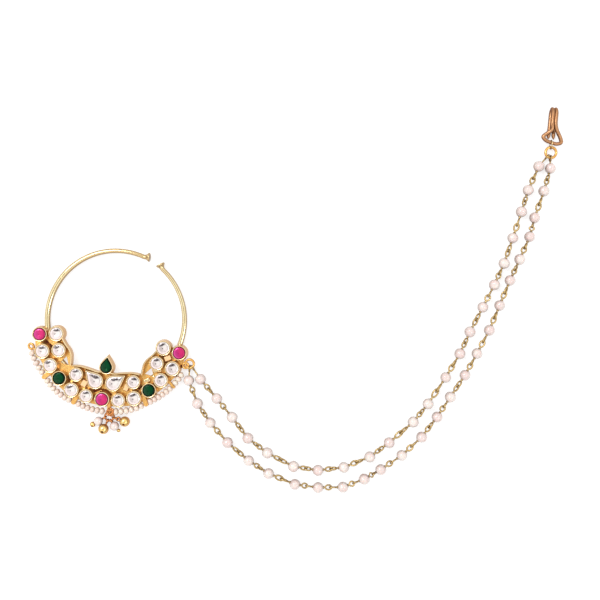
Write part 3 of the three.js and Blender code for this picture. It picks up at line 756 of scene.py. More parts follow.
half = OUTER + LOOP + SCALLOP
outline = [spot(*row, 1) for row in half] + [spot(*row, -1) for row in half[:0:-1]]
plate_outline = curve_through(outline, 8 * len(outline), True)


def plate(name, outlines, low, high, bevel, finish, nodes):
    """A flat plate between two heights from closed outlines; inner ones are holes."""
    flat = bpy.data.curves.new(name, "CURVE")
    flat.dimensions = "2D"
    flat.fill_mode = "BOTH"
    flat.extrude = (high - low) / 2 * MM - bevel * MM
    flat.bevel_depth = bevel * MM
    flat.bevel_resolution = 2
    flat.offset = -bevel * MM
    for line in outlines:
        spline = flat.splines.new("POLY")
        spline.points.add(len(line) - 1)
        for point, place in zip(spline.points, line):
            point.co = (place.x * MM, place.y * MM, 0, 1)
        spline.use_cyclic_u = True
    made = in_scene(name, flat)
    made.location.z = (low + high) / 2 * MM
    bpy.context.view_layer.update()
    graph = bpy.context.evaluated_depsgraph_get()
    mesh = bpy.data.meshes.new_from_object(made.evaluated_get(graph))
    mesh.transform(made.matrix_world)
    bpy.data.objects.remove(made)
    mesh.materials.clear()
    mesh.materials.append(finish)
    print(name, "has", len(mesh.polygons), "faces")
    return finished(in_scene(name, mesh), nodes, 50)


plate(
    "crescent_plate", [plate_outline, window(-1), window(1)], PLATE_LOW, PLATE_HIGH, 0.12,
    PLATE_GOLD, ["gold_frame"],
)

# %% Standing walls


def wall(shape, line, thickness, low, high):
    """A band along a line of the floor plan, with a rounded upper edge."""
    half = thickness / 2
    section = [
        (-half, low), (half, low), (half, high - 0.9 * half), (0.8 * half, high - 0.35 * half),
        (0.35 * half, high), (-0.35 * half, high), (-0.8 * half, high - 0.35 * half),
        (-half, high - 0.9 * half),
    ]
    rings = []
    for i, point in enumerate(line):
        ahead = line[min(i + 1, len(line) - 1)] - line[max(i - 1, 0)]
        across = ahead.cross(UP).normalized()
        rings.append([point + across * x + UP * z for x, z in section])
    shape.bands(rings)


WALL, WALL_HIGH = 0.55, RIM - 0.15
walls = Shape()
for side in (-1, 1):
    for route in (LOOP, SCALLOP):
        line = curve_through([spot(*row, side) for row in route], 48)
        wall(walls, line, WALL, PLATE_LOW, WALL_HIGH)
walls.piece("crescent_walls", CUP_GOLD, "gold", ["gold_frame"], 30)
print("walls:", len(walls.faces), "faces")

# %% [markdown]
# ## Cups and stones
#
# Each stone sits in a cup of its own outline. Cup and stone come from one function for the
# outline, round or pear shaped, so that they always fit: the cup is the outline grown by the seat
# and the wall, with a thin rim pressed over the stone's edge.

# %% The stones' table
Stone = namedtuple("Stone", "name kind along out size reach tip", defaults=(0.0, 0.0))
STONES = [
    Stone("ruby_end", "ruby", 5.75, 0.34, 1.0),
    Stone("kundan_top", "kundan", 5.53, -0.75, 1.04),
    Stone("kundan_shoulder", "kundan", 4.71, 0.53, 1.04),
    Stone("kundan_loop", "kundan", 4.27, -0.49, 0.97),
    Stone("kundan_side", "kundan", 3.73, 0.55, 1.0),
    Stone("emerald", "emerald", 2.81, 0.68, 1.0),
    Stone("kundan_rim", "kundan", 2.1, -0.23, 0.96),
    Stone("kundan_edge", "kundan", 1.84, 0.83, 1.04),
    Stone("kundan_pear", "kundan", 0.65, -0.36, 1.12, 0.96, 40),
    Stone("kundan_low", "kundan", 0.94, 0.78, 0.96),
    Stone("ruby_middle", "ruby", 0, 0.75, 1.02),
    Stone("emerald_pear", "emerald", 0, -1.41, 0.92, 0.86, 90),
]
SEAT, BEZEL, STONE_GROWN = 0.25, 0.35, 0.2
OUTLINE, PEAR_SIDE = 48, 10


def stone_outline(stone, grow):
    """Points of a stone's outline grown by some millimetres, a circle or a pear."""
    radius = stone.size * STONE / 2 + grow
    if not stone.reach:
        return circle(OUTLINE, radius)
    tip = Vector((stone.reach * stone.size * STONE + 1.5 * grow, 0, 0))
    tangent = math.acos(radius / tip.x)
    arc = OUTLINE - 2 * PEAR_SIDE
    turns = [tangent + (2 * math.pi - 2 * tangent) * i / arc for i in range(arc + 1)]
    round_part = [Vector((radius * math.cos(a), radius * math.sin(a), 0)) for a in turns]

    def swollen(start, end, share):
        point = start.lerp(end, share)
        return Vector((point.x, point.y * (1 + 0.2 * share * (1 - share)), 0))

    up = [swollen(tip, round_part[0], i / PEAR_SIDE) for i in range(PEAR_SIDE)]
    down = [swollen(round_part[-1], tip, i / PEAR_SIDE) for i in range(1, PEAR_SIDE)]
    return up + round_part + down


def stone_places():
    """Every stone with its node's name, its middle and its turn."""
    for stone in STONES:
        for side, ending in ((-1, "_left"), (1, "_right")) if stone.along else ((1, ""),):
            turn = 0.0
            if stone.reach:
                turn = math.radians(stone.tip if side > 0 else 180 - stone.tip)
            yield stone, stone.name + ending, spot(stone.along, stone.out, side), turn


def laid(points, middle, turn, height, scale=1.0):
    spin = TILT @ Matrix.Rotation(turn, 3, "Z")
    return [middle + spin @ (p * scale) + UP * height for p in points]


# %% Cups with pressed rims
WALL_OUT = SEAT + BEZEL
CUP_ROWS = [
    (WALL_OUT + 0.35, 1.75), (WALL_OUT + 0.34, 2.3), (WALL_OUT + 0.15, 3.1), (WALL_OUT, 3.8),
    (WALL_OUT - 0.03, 4.2), (WALL_OUT - 0.1, RIM), (WALL_OUT - 0.2, RIM),
    (STONE_GROWN + 0.06, 4.3), (STONE_GROWN - 0.02, 4.2), (STONE_GROWN - 0.02, 4.0),
    (SEAT, 3.7), (SEAT, 2.5),
]
cups = Shape()
for stone, name, middle, turn in stone_places():
    cups.bands([laid(stone_outline(stone, grow), middle, turn, z) for grow, z in CUP_ROWS])
cups.piece("stone_cups", CUP_GOLD, "gold", ["gold_frame"], 45)
print("cups:", len(cups.faces), "faces")

# %% [markdown]
# A stone here is the part that shows: a thin girdle, a crown that curves up like a polished
# cabochon and a flat table, with a shallow point below. Its UV map is drawn in the directions of
# the view from above, turned a little from stone to stone, so that the painted dark reflection lies
# near the upper edge of each but never quite in the same place.

# %% Stones
STONE_ROWS = [
    (0.05, 2.8), (1.0, 3.9), (1.0, GIRDLE), (0.97, 4.24), (0.9, 4.38), (0.8, 4.5), (0.68, 4.58),
    (0.6, TABLE), (0.3, TABLE), (0.004, TABLE),
]
FOIL_TURN = 22
random.seed(7)
for stone, name, middle, turn in stone_places():
    shape = Shape()
    own = stone_outline(stone, STONE_GROWN)
    shape.bands([laid(own, middle, turn, height, scale) for scale, height in STONE_ROWS])
    foil_turn = math.radians(random.uniform(-FOIL_TURN, FOIL_TURN)) + turn
    twist = Matrix.Rotation(foil_turn, 3, "Z") @ TILT
    shape.marks = [(twist @ p.normalized() * scale).xy[:] for scale, _ in STONE_ROWS for p in own]
    slot = stone.kind
    shape.piece(name + "_stone", FINISHES[slot], slot, [name], 60)
print("stones:", sum(1 for _ in stone_places()))

# %% [markdown]
# ## Infills, lac and lugs
#
# Between the cups small pieces of satin sheet are soldered in, and two narrow bridges of bright
# gold. Where there is neither, the deep gap lies in shade, and small dark red pieces paint that
# shade; they also stand for the lac, the resin that holds the foil and the stones of a kundan
# piece. Outside the cups short lugs hold the thread of the seed pearls.
# All of them are plates too, only small, so the same function makes them. The cups cut off what
# reaches under them.

# %% Infill plates


def soft_box(middle, long, wide, turn, corner=0.35):
    """Outline of a rectangle with rounded corners."""
    spin = Matrix.Rotation(math.radians(turn), 3, "Z")
    points = []
    for k, (x, y) in enumerate(((1, 1), (-1, 1), (-1, -1), (1, -1))):
        for i in range(5):
            angle = math.pi / 2 * (k + i / 4)
            bend = Vector((math.cos(angle), math.sin(angle), 0)) * corner
            inner = Vector((x * (long / 2 - corner), y * (wide / 2 - corner), 0))
            points.append(middle + spin @ (inner + bend))
    return points


# Rows are along and out in cups, then length, width and turn in millimetres and degrees.
INFILLS = [
    (-1.36, 0.08, 2.5, 2.1, 60), (1.5, 0.02, 2.5, 1.8, 65), (5.04, -0.16, 2.5, 1.9, 22),
]
BRIDGES = [(2.95, 0.04, 2.3, 1.5, 25), (3.93, -0.12, 3.0, 1.4, 5)]
INFILL_LOW, INFILL_HIGH = PLATE_HIGH - 0.3, PLATE_HIGH + 1.1
for name, places, finish in (
    ("crescent_infills", INFILLS, SHEET_GOLD), ("crescent_bridges", BRIDGES, CUP_GOLD)
):
    sheets = [soft_box(spot(along, out), *size) for along, out, *size in places]
    plate(name, sheets, INFILL_LOW, INFILL_HIGH, 0.25, finish, ["gold_frame"])

# %% Painted shade in the gaps, dark red like lac
# Painted shade: a dark red finish for the deep gaps between the cups, like lac; it also plugs the
# balls' holes.
RECESS_SHADE, tree, shader = material("red_lac")
cloudy = spread(tree, mottled(tree, 900.0, 3.0), 0.4, 0.65)
dark_red_shade = blend(tree, cloudy, (0.075, 0.008, 0.002), (0.28, 0.075, 0.012))
fill(tree, shader, {"Base Color": dark_red_shade, "Roughness": 0.5, "Specular IOR Level": 0.1})

GAP_SHADE_LOW, GAP_SHADE_HIGH = PLATE_HIGH - 0.2, PLATE_HIGH + 0.22
GAP_SHADE_PLACES = [
    (-5.0, 0.08, 3.6, 1.4, -45), (-2.41, 0.37, 2.2, 1.7, 60), (-1.62, 0.42, 1.7, 1.0, -60),
    (-1.62, -0.1, 1.4, 1.0, 20), (-0.44, 0.21, 3.0, 1.2, 20), (-0.01, 0.17, 1.8, 1.0, -10),
    (0.29, 0.33, 2.6, 1.2, -42), (2.31, 0.23, 1.9, 1.3, 50), (5.09, -0.44, 2.0, 1.4, 30),
    (4.75, -0.2, 1.6, 1.2, -30), (5.07, 0.86, 1.3, 1.1, 0),
]
# Each piece is a dark sheet laid in a deep gap where shade falls.
for k, (along, out, *size) in enumerate(GAP_SHADE_PLACES):
    pool = soft_box(spot(along, out), *size)
    plate("lac_%d" % (k + 1), [pool], GAP_SHADE_LOW, GAP_SHADE_HIGH, 0.08, RECESS_SHADE, [])

# %% Lugs for the thread
# lug is half the width of the lug at the thread, clear how far from its middle the seeds begin
Tab = namedtuple("Tab", "along out lug clear")
TABS = [
    Tab(-5.06, 1.36, 0.2, 0.5), Tab(-3.45, 1.44, 0.8, 0.9), Tab(-1.46, 1.56, 0.85, 0.95),
    Tab(0.39, 1.62, 0.6, 1.5), Tab(2.33, 1.49, 0.8, 0.9), Tab(4.0, 1.42, 0.45, 0.55),
    Tab(4.92, 1.28, 0.2, 0.5),
]
SEED_HEIGHT, LUG_HIGH, LUG_LIP = 2.7, 3.3, 0.7
lugs = []
for tab in TABS[1:-1]:
    root, thread = spot(tab.along, 0.75), spot(tab.along, tab.out)
    ahead = (thread - root).normalized()
    across = ahead.cross(UP)
    tip = thread + ahead * (LUG_LIP - tab.lug)
    bow = [math.radians(90 - 30 * i) for i in range(7)]
    end = [tip + (across * math.sin(a) + ahead * math.cos(a)) * tab.lug for a in bow]
    wide = across * (tab.lug + 0.05)
    lugs.append([root - wide] + end[::-1] + [root + wide])
plate("thread_lugs", lugs, PLATE_LOW, LUG_HIGH, 0.19, PLATE_GOLD, ["gold_frame"])

# %% End eyes and the dangle eye


def oval(middle, heading, up, long, wide, count=40):
    across = up.cross(heading).normalized()
    return [middle + heading * (long * p.x) + across * (wide * p.y) for p in circle(count)]


EYE, EYE_WIRE, EYE_LEAN, EYE_TURN = 1.0, 0.85, math.radians(70), math.radians(30)
EYE_PLACE, STEM, LEFT_EYE_MOVED = (5.25, 1.09), 0.6 * CUP, Vector((-0.7, -0.5, 0))
eye_wires = []
for side in (-1, 1):
    middle = spot(*EYE_PLACE, side, (PLATE_LOW + PLATE_HIGH) / 2)
    if side < 0:
        middle += LEFT_EYE_MOVED
    heading = TILT @ Vector((side * math.cos(EYE_TURN), math.sin(EYE_TURN), 0))
    up = Matrix.Rotation(-side * EYE_LEAN, 3, heading) @ heading.cross(UP)
    eye_wires.append((oval(middle, heading, up, EYE, EYE), EYE_WIRE, True))
    stem = [middle - heading * (EYE + STEM * i / 4) for i in range(5)]
    eye_wires.append((stem, EYE_WIRE, False))

DANGLE_RING, DANGLE_WIRE = 1.6, 0.45
LOOP_RADIUS, DROP_WIRE, SLACK = 0.75, 0.4, 0.2
DROP_SEEN = 0.7  # the drops' wire, as thick as it looks
LOOP_SEEN = LOOP_RADIUS + (DROP_WIRE - DROP_SEEN) / 2
EYE_HEIGHT = LOOP_RADIUS + DROP_WIRE / 2
tab_local = TILT.inverted() @ (spot(TABS[3].along, TABS[3].out) - ORIGIN)
ring_local = Vector((tab_local.x, tab_local.y - SLACK / 2 - DANGLE_RING, EYE_HEIGHT))
down, sideways = TILT @ -Y, TILT @ X
eye_middle = on_crescent(ring_local.x, tab_local.y, max(EYE_HEIGHT, LOOP_RADIUS + 0.25))
dangle_eye = oval(eye_middle, down, sideways, LOOP_RADIUS, LOOP_RADIUS)
eye_wires.append((dangle_eye, 0.5, True))
wires("end_eyes", eye_wires, PLATE_GOLD, ["gold_frame"])

# %% [markdown]
# ## Seed pearls on a thread
#
# Six short strings of seed pearls run from tab to tab. This is what Geometry Nodes are for: the
# tree takes the bare line of the thread, spaces the counted number of seeds evenly on it with
# their holes along the line, and makes each a little larger or smaller and turned. The number,
# the spread of sizes and the random seed are inputs.

# %% A seed pearl


def lump(name, width, length, sides, bands, uneven, seed):
    """A slightly uneven bead with its hole along X, as a mesh without an object in the scene."""
    shape, shift = Shape(), Vector((seed, 0, 0))
    rings = []
    for k in range(bands + 1):
        turn = math.pi * k / bands
        ring = circle(sides, max(width / 2 * math.sin(turn), 0.02))
        rings.append([Vector((-length / 2 * math.cos(turn), p.x, p.y)) for p in ring])
    shape.bands(rings)
    points = [p * (1 + uneven * noise.noise(p * 0.9 + shift)) for p in shape.points]
    return bpy.data.objects.new(name, mesh_from(name, points, [], shape.faces))


SEED_WIDE, SEED_LONG = 2.6, 1.95
seed_pearl = lump("seed_pearl", SEED_WIDE, SEED_LONG, 16, 10, 0.05, 3)
print("one seed pearl:", len(seed_pearl.data.polygons), "faces")

# %% What the string and the chains share
FULL_TURN = 6.28


def random_between(tree, low, high, seed):
    made = node(tree, "FunctionNodeRandomValue", {2: low, 3: high, 8: seed}, data_type="FLOAT")
    return made.outputs[1]


def keep_heading(tree, geometry, heading, domain):
    sockets = {"Geometry": geometry, "Name": "heading", "Value": heading}
    settings = {"data_type": "FLOAT_VECTOR", "domain": domain}
    return node(tree, "GeometryNodeStoreNamedAttribute", sockets, **settings).outputs[0]


def rolled(tree, angle):
    """A turn that lays X along the kept heading and rolls round it by an angle."""
    heading = named(tree, "heading", "FLOAT_VECTOR")
    aligned = node(tree, "FunctionNodeAlignRotationToVector", {"Vector": heading}, axis="X")
    roll = node(tree, "FunctionNodeAxisAngleToRotation", {"Axis": (1, 0, 0), "Angle": angle})
    sockets = {"Rotation": aligned.outputs[0], "Rotate By": roll.outputs[0]}
    return node(tree, "FunctionNodeRotateRotation", sockets, rotation_space="LOCAL").outputs[0]


def repeat(tree, given, end, points, label, turn, scale):
    """Puts the object of one input on every point, and ends the tree."""
    info = node(tree, "GeometryNodeObjectInfo", {"Object": given[label]})
    sockets = {
        "Points": points, "Instance": info.outputs["Geometry"], "Rotation": turn, "Scale": scale
    }
    copies = node(tree, "GeometryNodeInstanceOnPoints", sockets)
    hand_out(tree, given, end, copies.outputs[0])


# %% The string tree
string_tree, given, end = geometry_tree(
    "string_of_seeds",
    [
        ("Line", "Geometry"), ("Bead", "Object"), ("Number", "Int", 6),
        ("Smallest", "Float", 0.9), ("Seed", "Int", 5), ("Finish", "Material"),
    ],
)
path = node(string_tree, "GeometryNodeMeshToCurve", {"Mesh": given["Line"]}).outputs[0]
sockets = {"Curve": path, "Count": given["Number"]}
even = node(string_tree, "GeometryNodeResampleCurve", sockets, mode="COUNT").outputs[0]
tangent = node(string_tree, "GeometryNodeInputTangent").outputs[0]
stored = keep_heading(string_tree, even, tangent, "POINT")
dots = node(string_tree, "GeometryNodeCurveToPoints", {"Curve": stored}, mode="EVALUATED")
turn = rolled(string_tree, random_between(string_tree, 0.0, FULL_TURN, given["Seed"]))
scale = random_between(string_tree, given["Smallest"], 1.0, given["Seed"])
repeat(string_tree, given, end, dots.outputs[0], "Bead", turn, scale)

# %% Six strings
BULGE = [0.0, 0.12, 0.06, 0.07, 0.02, 0.0]
SEED_COUNTS = [5, 7, 6, 6, 6, 3]
INWARD, THREAD_WIRE, THREAD_STEPS = 0.08, 0.3, 24


def thread_line(index, spare):
    """Points of one span of thread, which begins and ends this far beyond what the lugs need."""
    first, last = TABS[index], TABS[index + 1]

    def at(share):
        bulge = 4 * BULGE[index] * share * (1 - share)
        out = first.out + (last.out - first.out) * share + bulge - INWARD
        return spot(first.along + (last.along - first.along) * share, out, 1, SEED_HEIGHT)

    length = (at(1) - at(0)).length
    start, end = (first.clear + spare) / length, 1 - (last.clear + spare) / length
    steps = range(THREAD_STEPS + 1)
    return [at(start + (end - start) * i / THREAD_STEPS) for i in steps]


threads = []
for index, count in enumerate(SEED_COUNTS):
    span = thread_line(index, 0.0)
    seed = sum((b - a).length for a, b in zip(span, span[1:])) / count
    line = thread_line(index, seed / 2)
    base = mesh_from("thread_line", line, edges_along(line))
    values = {"Bead": seed_pearl, "Number": count, "Seed": index, "Finish": SEED}
    name = "seed_pearls_%d" % (index + 1)
    grown(name, base, string_tree, values, ["seed_string_%d" % (index + 1)], 80)
    threads.append((thread_line(index, -THREAD_WIRE), THREAD_WIRE, False))
    print(name, "has", count, "seeds at every", round(seed, 2), "mm")
wires("seed_thread", threads, THREAD, [], 8)
print("seeds in all:", sum(SEED_COUNTS))

# %% [markdown]
# ## Pearl chains on eye pins
#
# Each pearl of the chains has a gold pin through it with an eye at both ends, and neighbouring
# eyes hook into each other at right angles. The route is a line of edges with a pearl at each
# point. One tree puts the pearls on the points, a second puts a pair of hooked eyes on each edge,
# along it, as long as the gap between the two pearls, and rolled by a random angle, because a
# chain that was laid down never lies quite straight.

# %% Routes of the two chains, in pearls from the chain ring
PEARL_WIDTH = 4.0
INNER_ROUTE = [
    (0.99, -1.37), (2.44, -3.09), (3.81, -4.77), (5.22, -6.64), (6.96, -7.96), (9.29, -9.16),
    (11.49, -9.51), (13.79, -9.24), (16.11, -8.31), (17.84, -7.04), (19.99, -5.19), (21.32, -3.57),
    (22.89, -1.21), (24.16, 0.91), (25.06, 2.86), (26.21, 5.06), (27.24, 7.06), (28.11, 8.98),
    (28.89, 11.24), (29.66, 13.59), (30.26, 15.51), (31.21, 17.64),
]
OUTER_ROUTE = [
    (-0.06, -1.48), (0.71, -3.54), (1.86, -5.26), (3.41, -7.04), (5.29, -8.64), (7.07, -9.79),
    (9.42, -10.76), (11.49, -11.04), (13.71, -11.01), (15.61, -10.29), (17.09, -9.44),
    (18.97, -8.17), (20.74, -6.54), (22.12, -4.74), (23.31, -2.96), (24.61, -1.01), (25.69, 0.93),
    (26.79, 3.01), (27.71, 5.23), (28.64, 7.46), (29.51, 9.34), (30.39, 11.36), (30.84, 13.06),
    (31.67, 15.44), (32.24, 17.46),
]
chain_ring = middle_of("chain_ring")
hook_ring = middle_of("hook_ring")


def chain_points(route):
    return [
        Vector((chain_ring.x + x * PEARL_WIDTH, chain_ring.y + y * PEARL_WIDTH, PEARL_WIDTH / 2))
        for x, y in route
    ]


# %% The pearl tree
pearl_tree, given, end = geometry_tree(
    "pearls_on_points",
    [
        ("Points", "Geometry"), ("Pearl", "Object"), ("Smallest", "Float", 0.94),
        ("Seed", "Int", 1), ("Finish", "Material"),
    ],
)
sockets = {0: (0.0, 0.0, 0.0), 1: (FULL_TURN, FULL_TURN, FULL_TURN), 8: given["Seed"]}
turn = node(pearl_tree, "FunctionNodeRandomValue", sockets, data_type="FLOAT_VECTOR").outputs[0]
scale = random_between(pearl_tree, given["Smallest"], 1.0, given["Seed"])
repeat(pearl_tree, given, end, given["Points"], "Pearl", turn, scale)

# %% The eye pin tree
PAIR_LENGTH = 5.2
pin_tree, given, end = geometry_tree(
    "eye_pins_on_edges",
    [
        ("Route", "Geometry"), ("Pair", "Object"), ("Pair Length", "Float", PAIR_LENGTH * MM),
        ("Pearl Width", "Float", PEARL_WIDTH * MM), ("Roll", "Float", 0.9), ("Seed", "Int", 1),
        ("Finish", "Material"),
    ],
)
ends = node(pin_tree, "GeometryNodeInputMeshEdgeVertices").outputs
sockets = {0: ends["Position 2"], 1: ends["Position 1"]}
along = node(pin_tree, "ShaderNodeVectorMath", sockets, operation="SUBTRACT").outputs[0]
kept = keep_heading(pin_tree, given["Route"], along, "EDGE")
middles = node(pin_tree, "GeometryNodeMeshToPoints", {"Mesh": kept}, mode="EDGES").outputs[0]
length = measure(pin_tree, "LENGTH", named(pin_tree, "heading", "FLOAT_VECTOR"))
gap = calc(pin_tree, "SUBTRACT", length, given["Pearl Width"])
share = calc(pin_tree, "DIVIDE", gap, given["Pair Length"])
stretch = node(pin_tree, "ShaderNodeCombineXYZ", {0: share, 1: 1.0, 2: 1.0}).outputs[0]
either_way = calc(pin_tree, "MULTIPLY", given["Roll"], -1.0)
turn = rolled(pin_tree, random_between(pin_tree, either_way, given["Roll"], given["Seed"]))
repeat(pin_tree, given, end, middles, "Pair", turn, stretch)

# %% One pair of hooked eyes
PIN_WIRE, COLLAR, COLLAR_WIRE = 0.62, 0.38, 0.34
EYE_FROM, EYE_TO, EYE_HALF = -0.38, 1.95, 0.82


def tube(shape, line, width, closed=False, sides=10):
    """A small round tube, for the pair of eyes that the tree repeats."""
    rings, up = [], UP
    for i, point in enumerate(line):
        if closed:
            ahead = line[(i + 1) % len(line)] - line[i - 1]
        else:
            ahead = line[min(i + 1, len(line) - 1)] - line[max(i - 1, 0)]
        ahead.normalize()
        if abs(ahead.dot(up)) > 0.95:
            up = ahead.orthogonal()
        across = ahead.cross(up).normalized()
        up = across.cross(ahead).normalized()
        rings.append([point + across * p.x + up * p.y for p in circle(sides, width / 2)])
    shape.bands(rings, closed)


def hooked_eyes():
    shape = Shape()
    for side, up in ((-1, UP), (1, Y)):
        inner, outer = EYE_FROM * side, EYE_TO * side
        long = abs(outer - inner) / 2
        tube(shape, oval(X * ((inner + outer) / 2), X, up, long, EYE_HALF, 24), PIN_WIRE, True)
        pin = [X * (outer + side * step) for step in (-0.05, 0.3, 0.75)]
        tube(shape, pin, PIN_WIRE)
        collar = oval(X * (side * PAIR_LENGTH / 2), Y, X, COLLAR, COLLAR, 14)
        tube(shape, collar, COLLAR_WIRE, True, 8)
    mesh = mesh_from("hooked_eyes", shape.points, [], shape.faces)
    return bpy.data.objects.new("hooked_eyes", mesh)


pair = hooked_eyes()
round_pearl = lump("chain_pearl", PEARL_WIDTH, PEARL_WIDTH, 32, 20, 0.035, 9)
print("one pair of eyes:", len(pair.data.polygons), "faces")

# %% Both chains
for name, route, seed in (("inner", INNER_ROUTE, 11), ("outer", OUTER_ROUTE, 23)):
    points = chain_points(route)
    nodes = ["pearl_strand_" + name]
    base = mesh_from(name + "_points", points)
    values = {"Pearl": round_pearl, "Seed": seed, "Finish": PEARL}
    grown(name + "_chain_pearls", base, pearl_tree, values, nodes, 80)
    base = mesh_from(name + "_route", points, edges_along(points))
    values = {"Pair": pair, "Seed": seed, "Finish": PIN_GOLD}
    pins = grown(name + "_chain_pins", base, pin_tree, values, nodes, 60)
    print(name, "chain:", len(points), "pearls,", len(pins.data.polygons), "faces of wire")

# %% [markdown]
# The first and the last pearl of each chain hang on a jump ring, with one larger eye each. These
# four eyes, the jump rings and the small link at the hook are single pieces of wire again.

# %% End loops, jump rings and the hook's link
LOOP_HEIGHT = 1.35
CHAIN_RING, HOOK_RING = 1.55, 1.9
END_EYE, END_WIRE = 1.0, 0.55


def level(point, height):
    return Vector((point.x, point.y, height))


def straight(start, end, steps=6):
    return [start.lerp(end, i / steps) for i in range(steps + 1)]


end_loops = []
for route in (INNER_ROUTE, OUTER_ROUTE):
    points = chain_points(route)
    for ring, radius, pearl in (
        (chain_ring, CHAIN_RING, points[0]), (hook_ring, HOOK_RING, points[-1])
    ):
        heading = level(pearl - ring, 0).normalized()
        middle = level(ring, LOOP_HEIGHT) + heading * (radius + SLACK)
        eye = oval(middle, heading, heading.cross(UP), END_EYE, END_EYE)
        end_loops.append((eye, END_WIRE, True))
        end_loops.append((straight(middle + heading * END_EYE, pearl), END_WIRE, False))
nodes = ["pearl_strand_inner", "pearl_strand_outer"]
wires("chain_end_eyes", end_loops, PIN_GOLD, nodes, 12)

for name, middle, radius, width in (
    ("chain", chain_ring, CHAIN_RING, 0.9), ("hook", hook_ring, HOOK_RING, 0.95)
):
    ring_line = oval(middle, X, UP, radius, radius, 64)
    wires(name + "_jump_ring", [(ring_line, width, True)], PLATE_GOLD, [name + "_ring"])

# %% [markdown]
# ## The hair hook
#
# One springy wire is bent into the hook: its middle is the bar of a triangular eye, both halves
# run up side by side as the legs, and their tips fold back underneath, where they hold the hair.
# The wire is drawn as one line from tip to tip, thinner at the bar, and swept by the wire tree.

# %% Hook and link
HOOK_WIRE, BAR_WIRE, HOOK_LENGTH, EYE_WIDTH, HOOK_HEIGHT = 1.35, 1.0, 12.7, 7.0, 3.8
LEG_LEAN, EYE_MORE_LEAN = 4.5, 14
BEND = [
    (-0.08, 0.0, 0.46), (0.55, 0.01, 0.44), (0.96, 0.09, 0.42), (0.72, 0.2, 0.5),
    (0.26, 0.34, 0.74), (0.18, 0.5, 0.85), (0.18, 0.84, 0.82), (0.18, 0.94, 0.5),
    (0.18, 0.85, 0.24), (0.2, 0.5, 0.2), (0.27, 0.1, 0.22),
]
LINK_WIRE, RING_WIRE, LINK_GAP = 0.4, 0.8, 0.75
BAR_SEEN = 1.25  # the bar, as thick as it looks
link_wires = (BAR_WIRE + RING_WIRE) / 2 + LINK_GAP
link_half = (BAR_WIRE + RING_WIRE + LINK_GAP + SLACK + LINK_WIRE) / 2
rise = BEND[0][2] * HOOK_HEIGHT - LOOP_HEIGHT
bar = hook_ring + Vector((0, HOOK_RING + math.sqrt(link_wires**2 - rise**2), rise))


def hook_point(row, side):
    across, up, high = row
    lean = LEG_LEAN
    if high > 0.3:
        lean += EYE_MORE_LEAN * (1 - smooth_step(up, 0.15, 0.5))
    flat = Vector((side * across * EYE_WIDTH / 2, up * HOOK_LENGTH, 0))
    flat.rotate(Matrix.Rotation(-math.radians(lean), 3, "Z"))
    return Vector((bar.x + flat.x, bar.y + flat.y, high * HOOK_HEIGHT))


HALF_STEPS, SKIPPED = 70, 3
left = curve_through([hook_point(row, -1) for row in BEND], HALF_STEPS)
right = curve_through([hook_point(row, 1) for row in BEND], HALF_STEPS)
hook_line = left[:SKIPPED:-1] + right[SKIPPED:]


def hook_width(i):
    return BAR_SEEN + (HOOK_WIRE - BAR_SEEN) * smooth_step(i / HALF_STEPS, 0, 0.3)


half_widths = [hook_width(i) for i in range(SKIPPED, HALF_STEPS + 1)]
widths = half_widths[:0:-1] + half_widths
for k, part in enumerate((0.1, 0.75)):
    widths[k] *= part
    widths[-1 - k] *= part
wires("hook_wire", [(hook_line, widths, False)], ROSE_GOLD, ["hair_hook"], 24)

toward = (bar - (hook_ring + Y * HOOK_RING)).normalized()
link_middle = bar - toward * ((RING_WIRE + LINK_GAP) / 2)
link_line = oval(link_middle, toward, X, link_half, 0.75 * link_half)
wires("hook_bar_link", [(link_line, LINK_WIRE, True)], GOLD, ["hook_link"], 12)
print("hook's bar is at (mm):", [round(v, 2) for v in bar])

# %% [markdown]
# ## The drops
#
# At the middle lug a few turns of copper wire tie the thread. Under it a ring of the same wire
# carries two small pearls with gold tips and two gold balls, each on a pin with an eye. The balls
# are spun on the lathe, with the small hole of a hollow bead at the lower end, and the shade inside
# the hole is painted as a small dark plug.

# %% Drops
DROP_ROW = "name at turn reach bead gold tip_reach tip on_link"
Drop = namedtuple("Drop", DROP_ROW, defaults=(0, 0, False))
LINK_TURN = 81
DROPS = [
    Drop("pearl_left", -72, -52, 2.4, 3.2, False, 2.5, 2.0),
    Drop("ball_middle", -16, -16, 2.95, 3.7, True),
    Drop("pearl_right", 30, 44, 2.15, 3.3, False, 2.1, 1.3),
    Drop("ball_right", LINK_TURN, LINK_TURN, 2.6, 3.7, True, 0, 0, True),
]
LINK_REACH = 1.0
link_shift = LINK_REACH - (DROP_WIRE + DANGLE_WIRE + SLACK) / 2
link_inside = LINK_REACH - DROP_WIRE - SLACK / 2
ring_middle = on_crescent(*ring_local)


def towards(turn):
    return TILT @ Vector((math.sin(math.radians(turn)), -math.cos(math.radians(turn)), 0))


def ball_outline(width, hole):
    """Rows of (along, radius) for a ball round its own middle, open at the far end if it has a
    hole."""
    radius = width / 2
    far = math.pi - (math.asin(hole / radius) if hole else 0.0)
    rows = [(-radius * math.cos(far * k / 24), radius * math.sin(far * k / 24)) for k in range(25)]
    if hole:
        rows += [(radius - 0.35, hole * 0.9), (radius - 0.9, hole * 0.8), (radius - 0.9, 0.0)]
    return rows


drop_wires, drop_pearls, drop_balls, hole_shade_plugs = [], Shape(), Shape(), Shape()
HOLE_AIM = (towards(0) * 0.5 + UP * 0.87).normalized()


def ball(middle, width, hole):
    """A hollow gold bead, with the shade inside its hole painted as a small dark plug."""
    lathe(drop_balls, ball_outline(width, hole), middle, HOLE_AIM, 40)
    depth = width / 2 - 0.3
    # Painted shade: a dark plug deep inside the hole.
    plug = [(depth - 0.1, 0.0), (depth - 0.1, hole * 0.95), (depth, hole * 0.95), (depth, 0.0)]
    lathe(hole_shade_plugs, plug, middle, HOLE_AIM, 20)


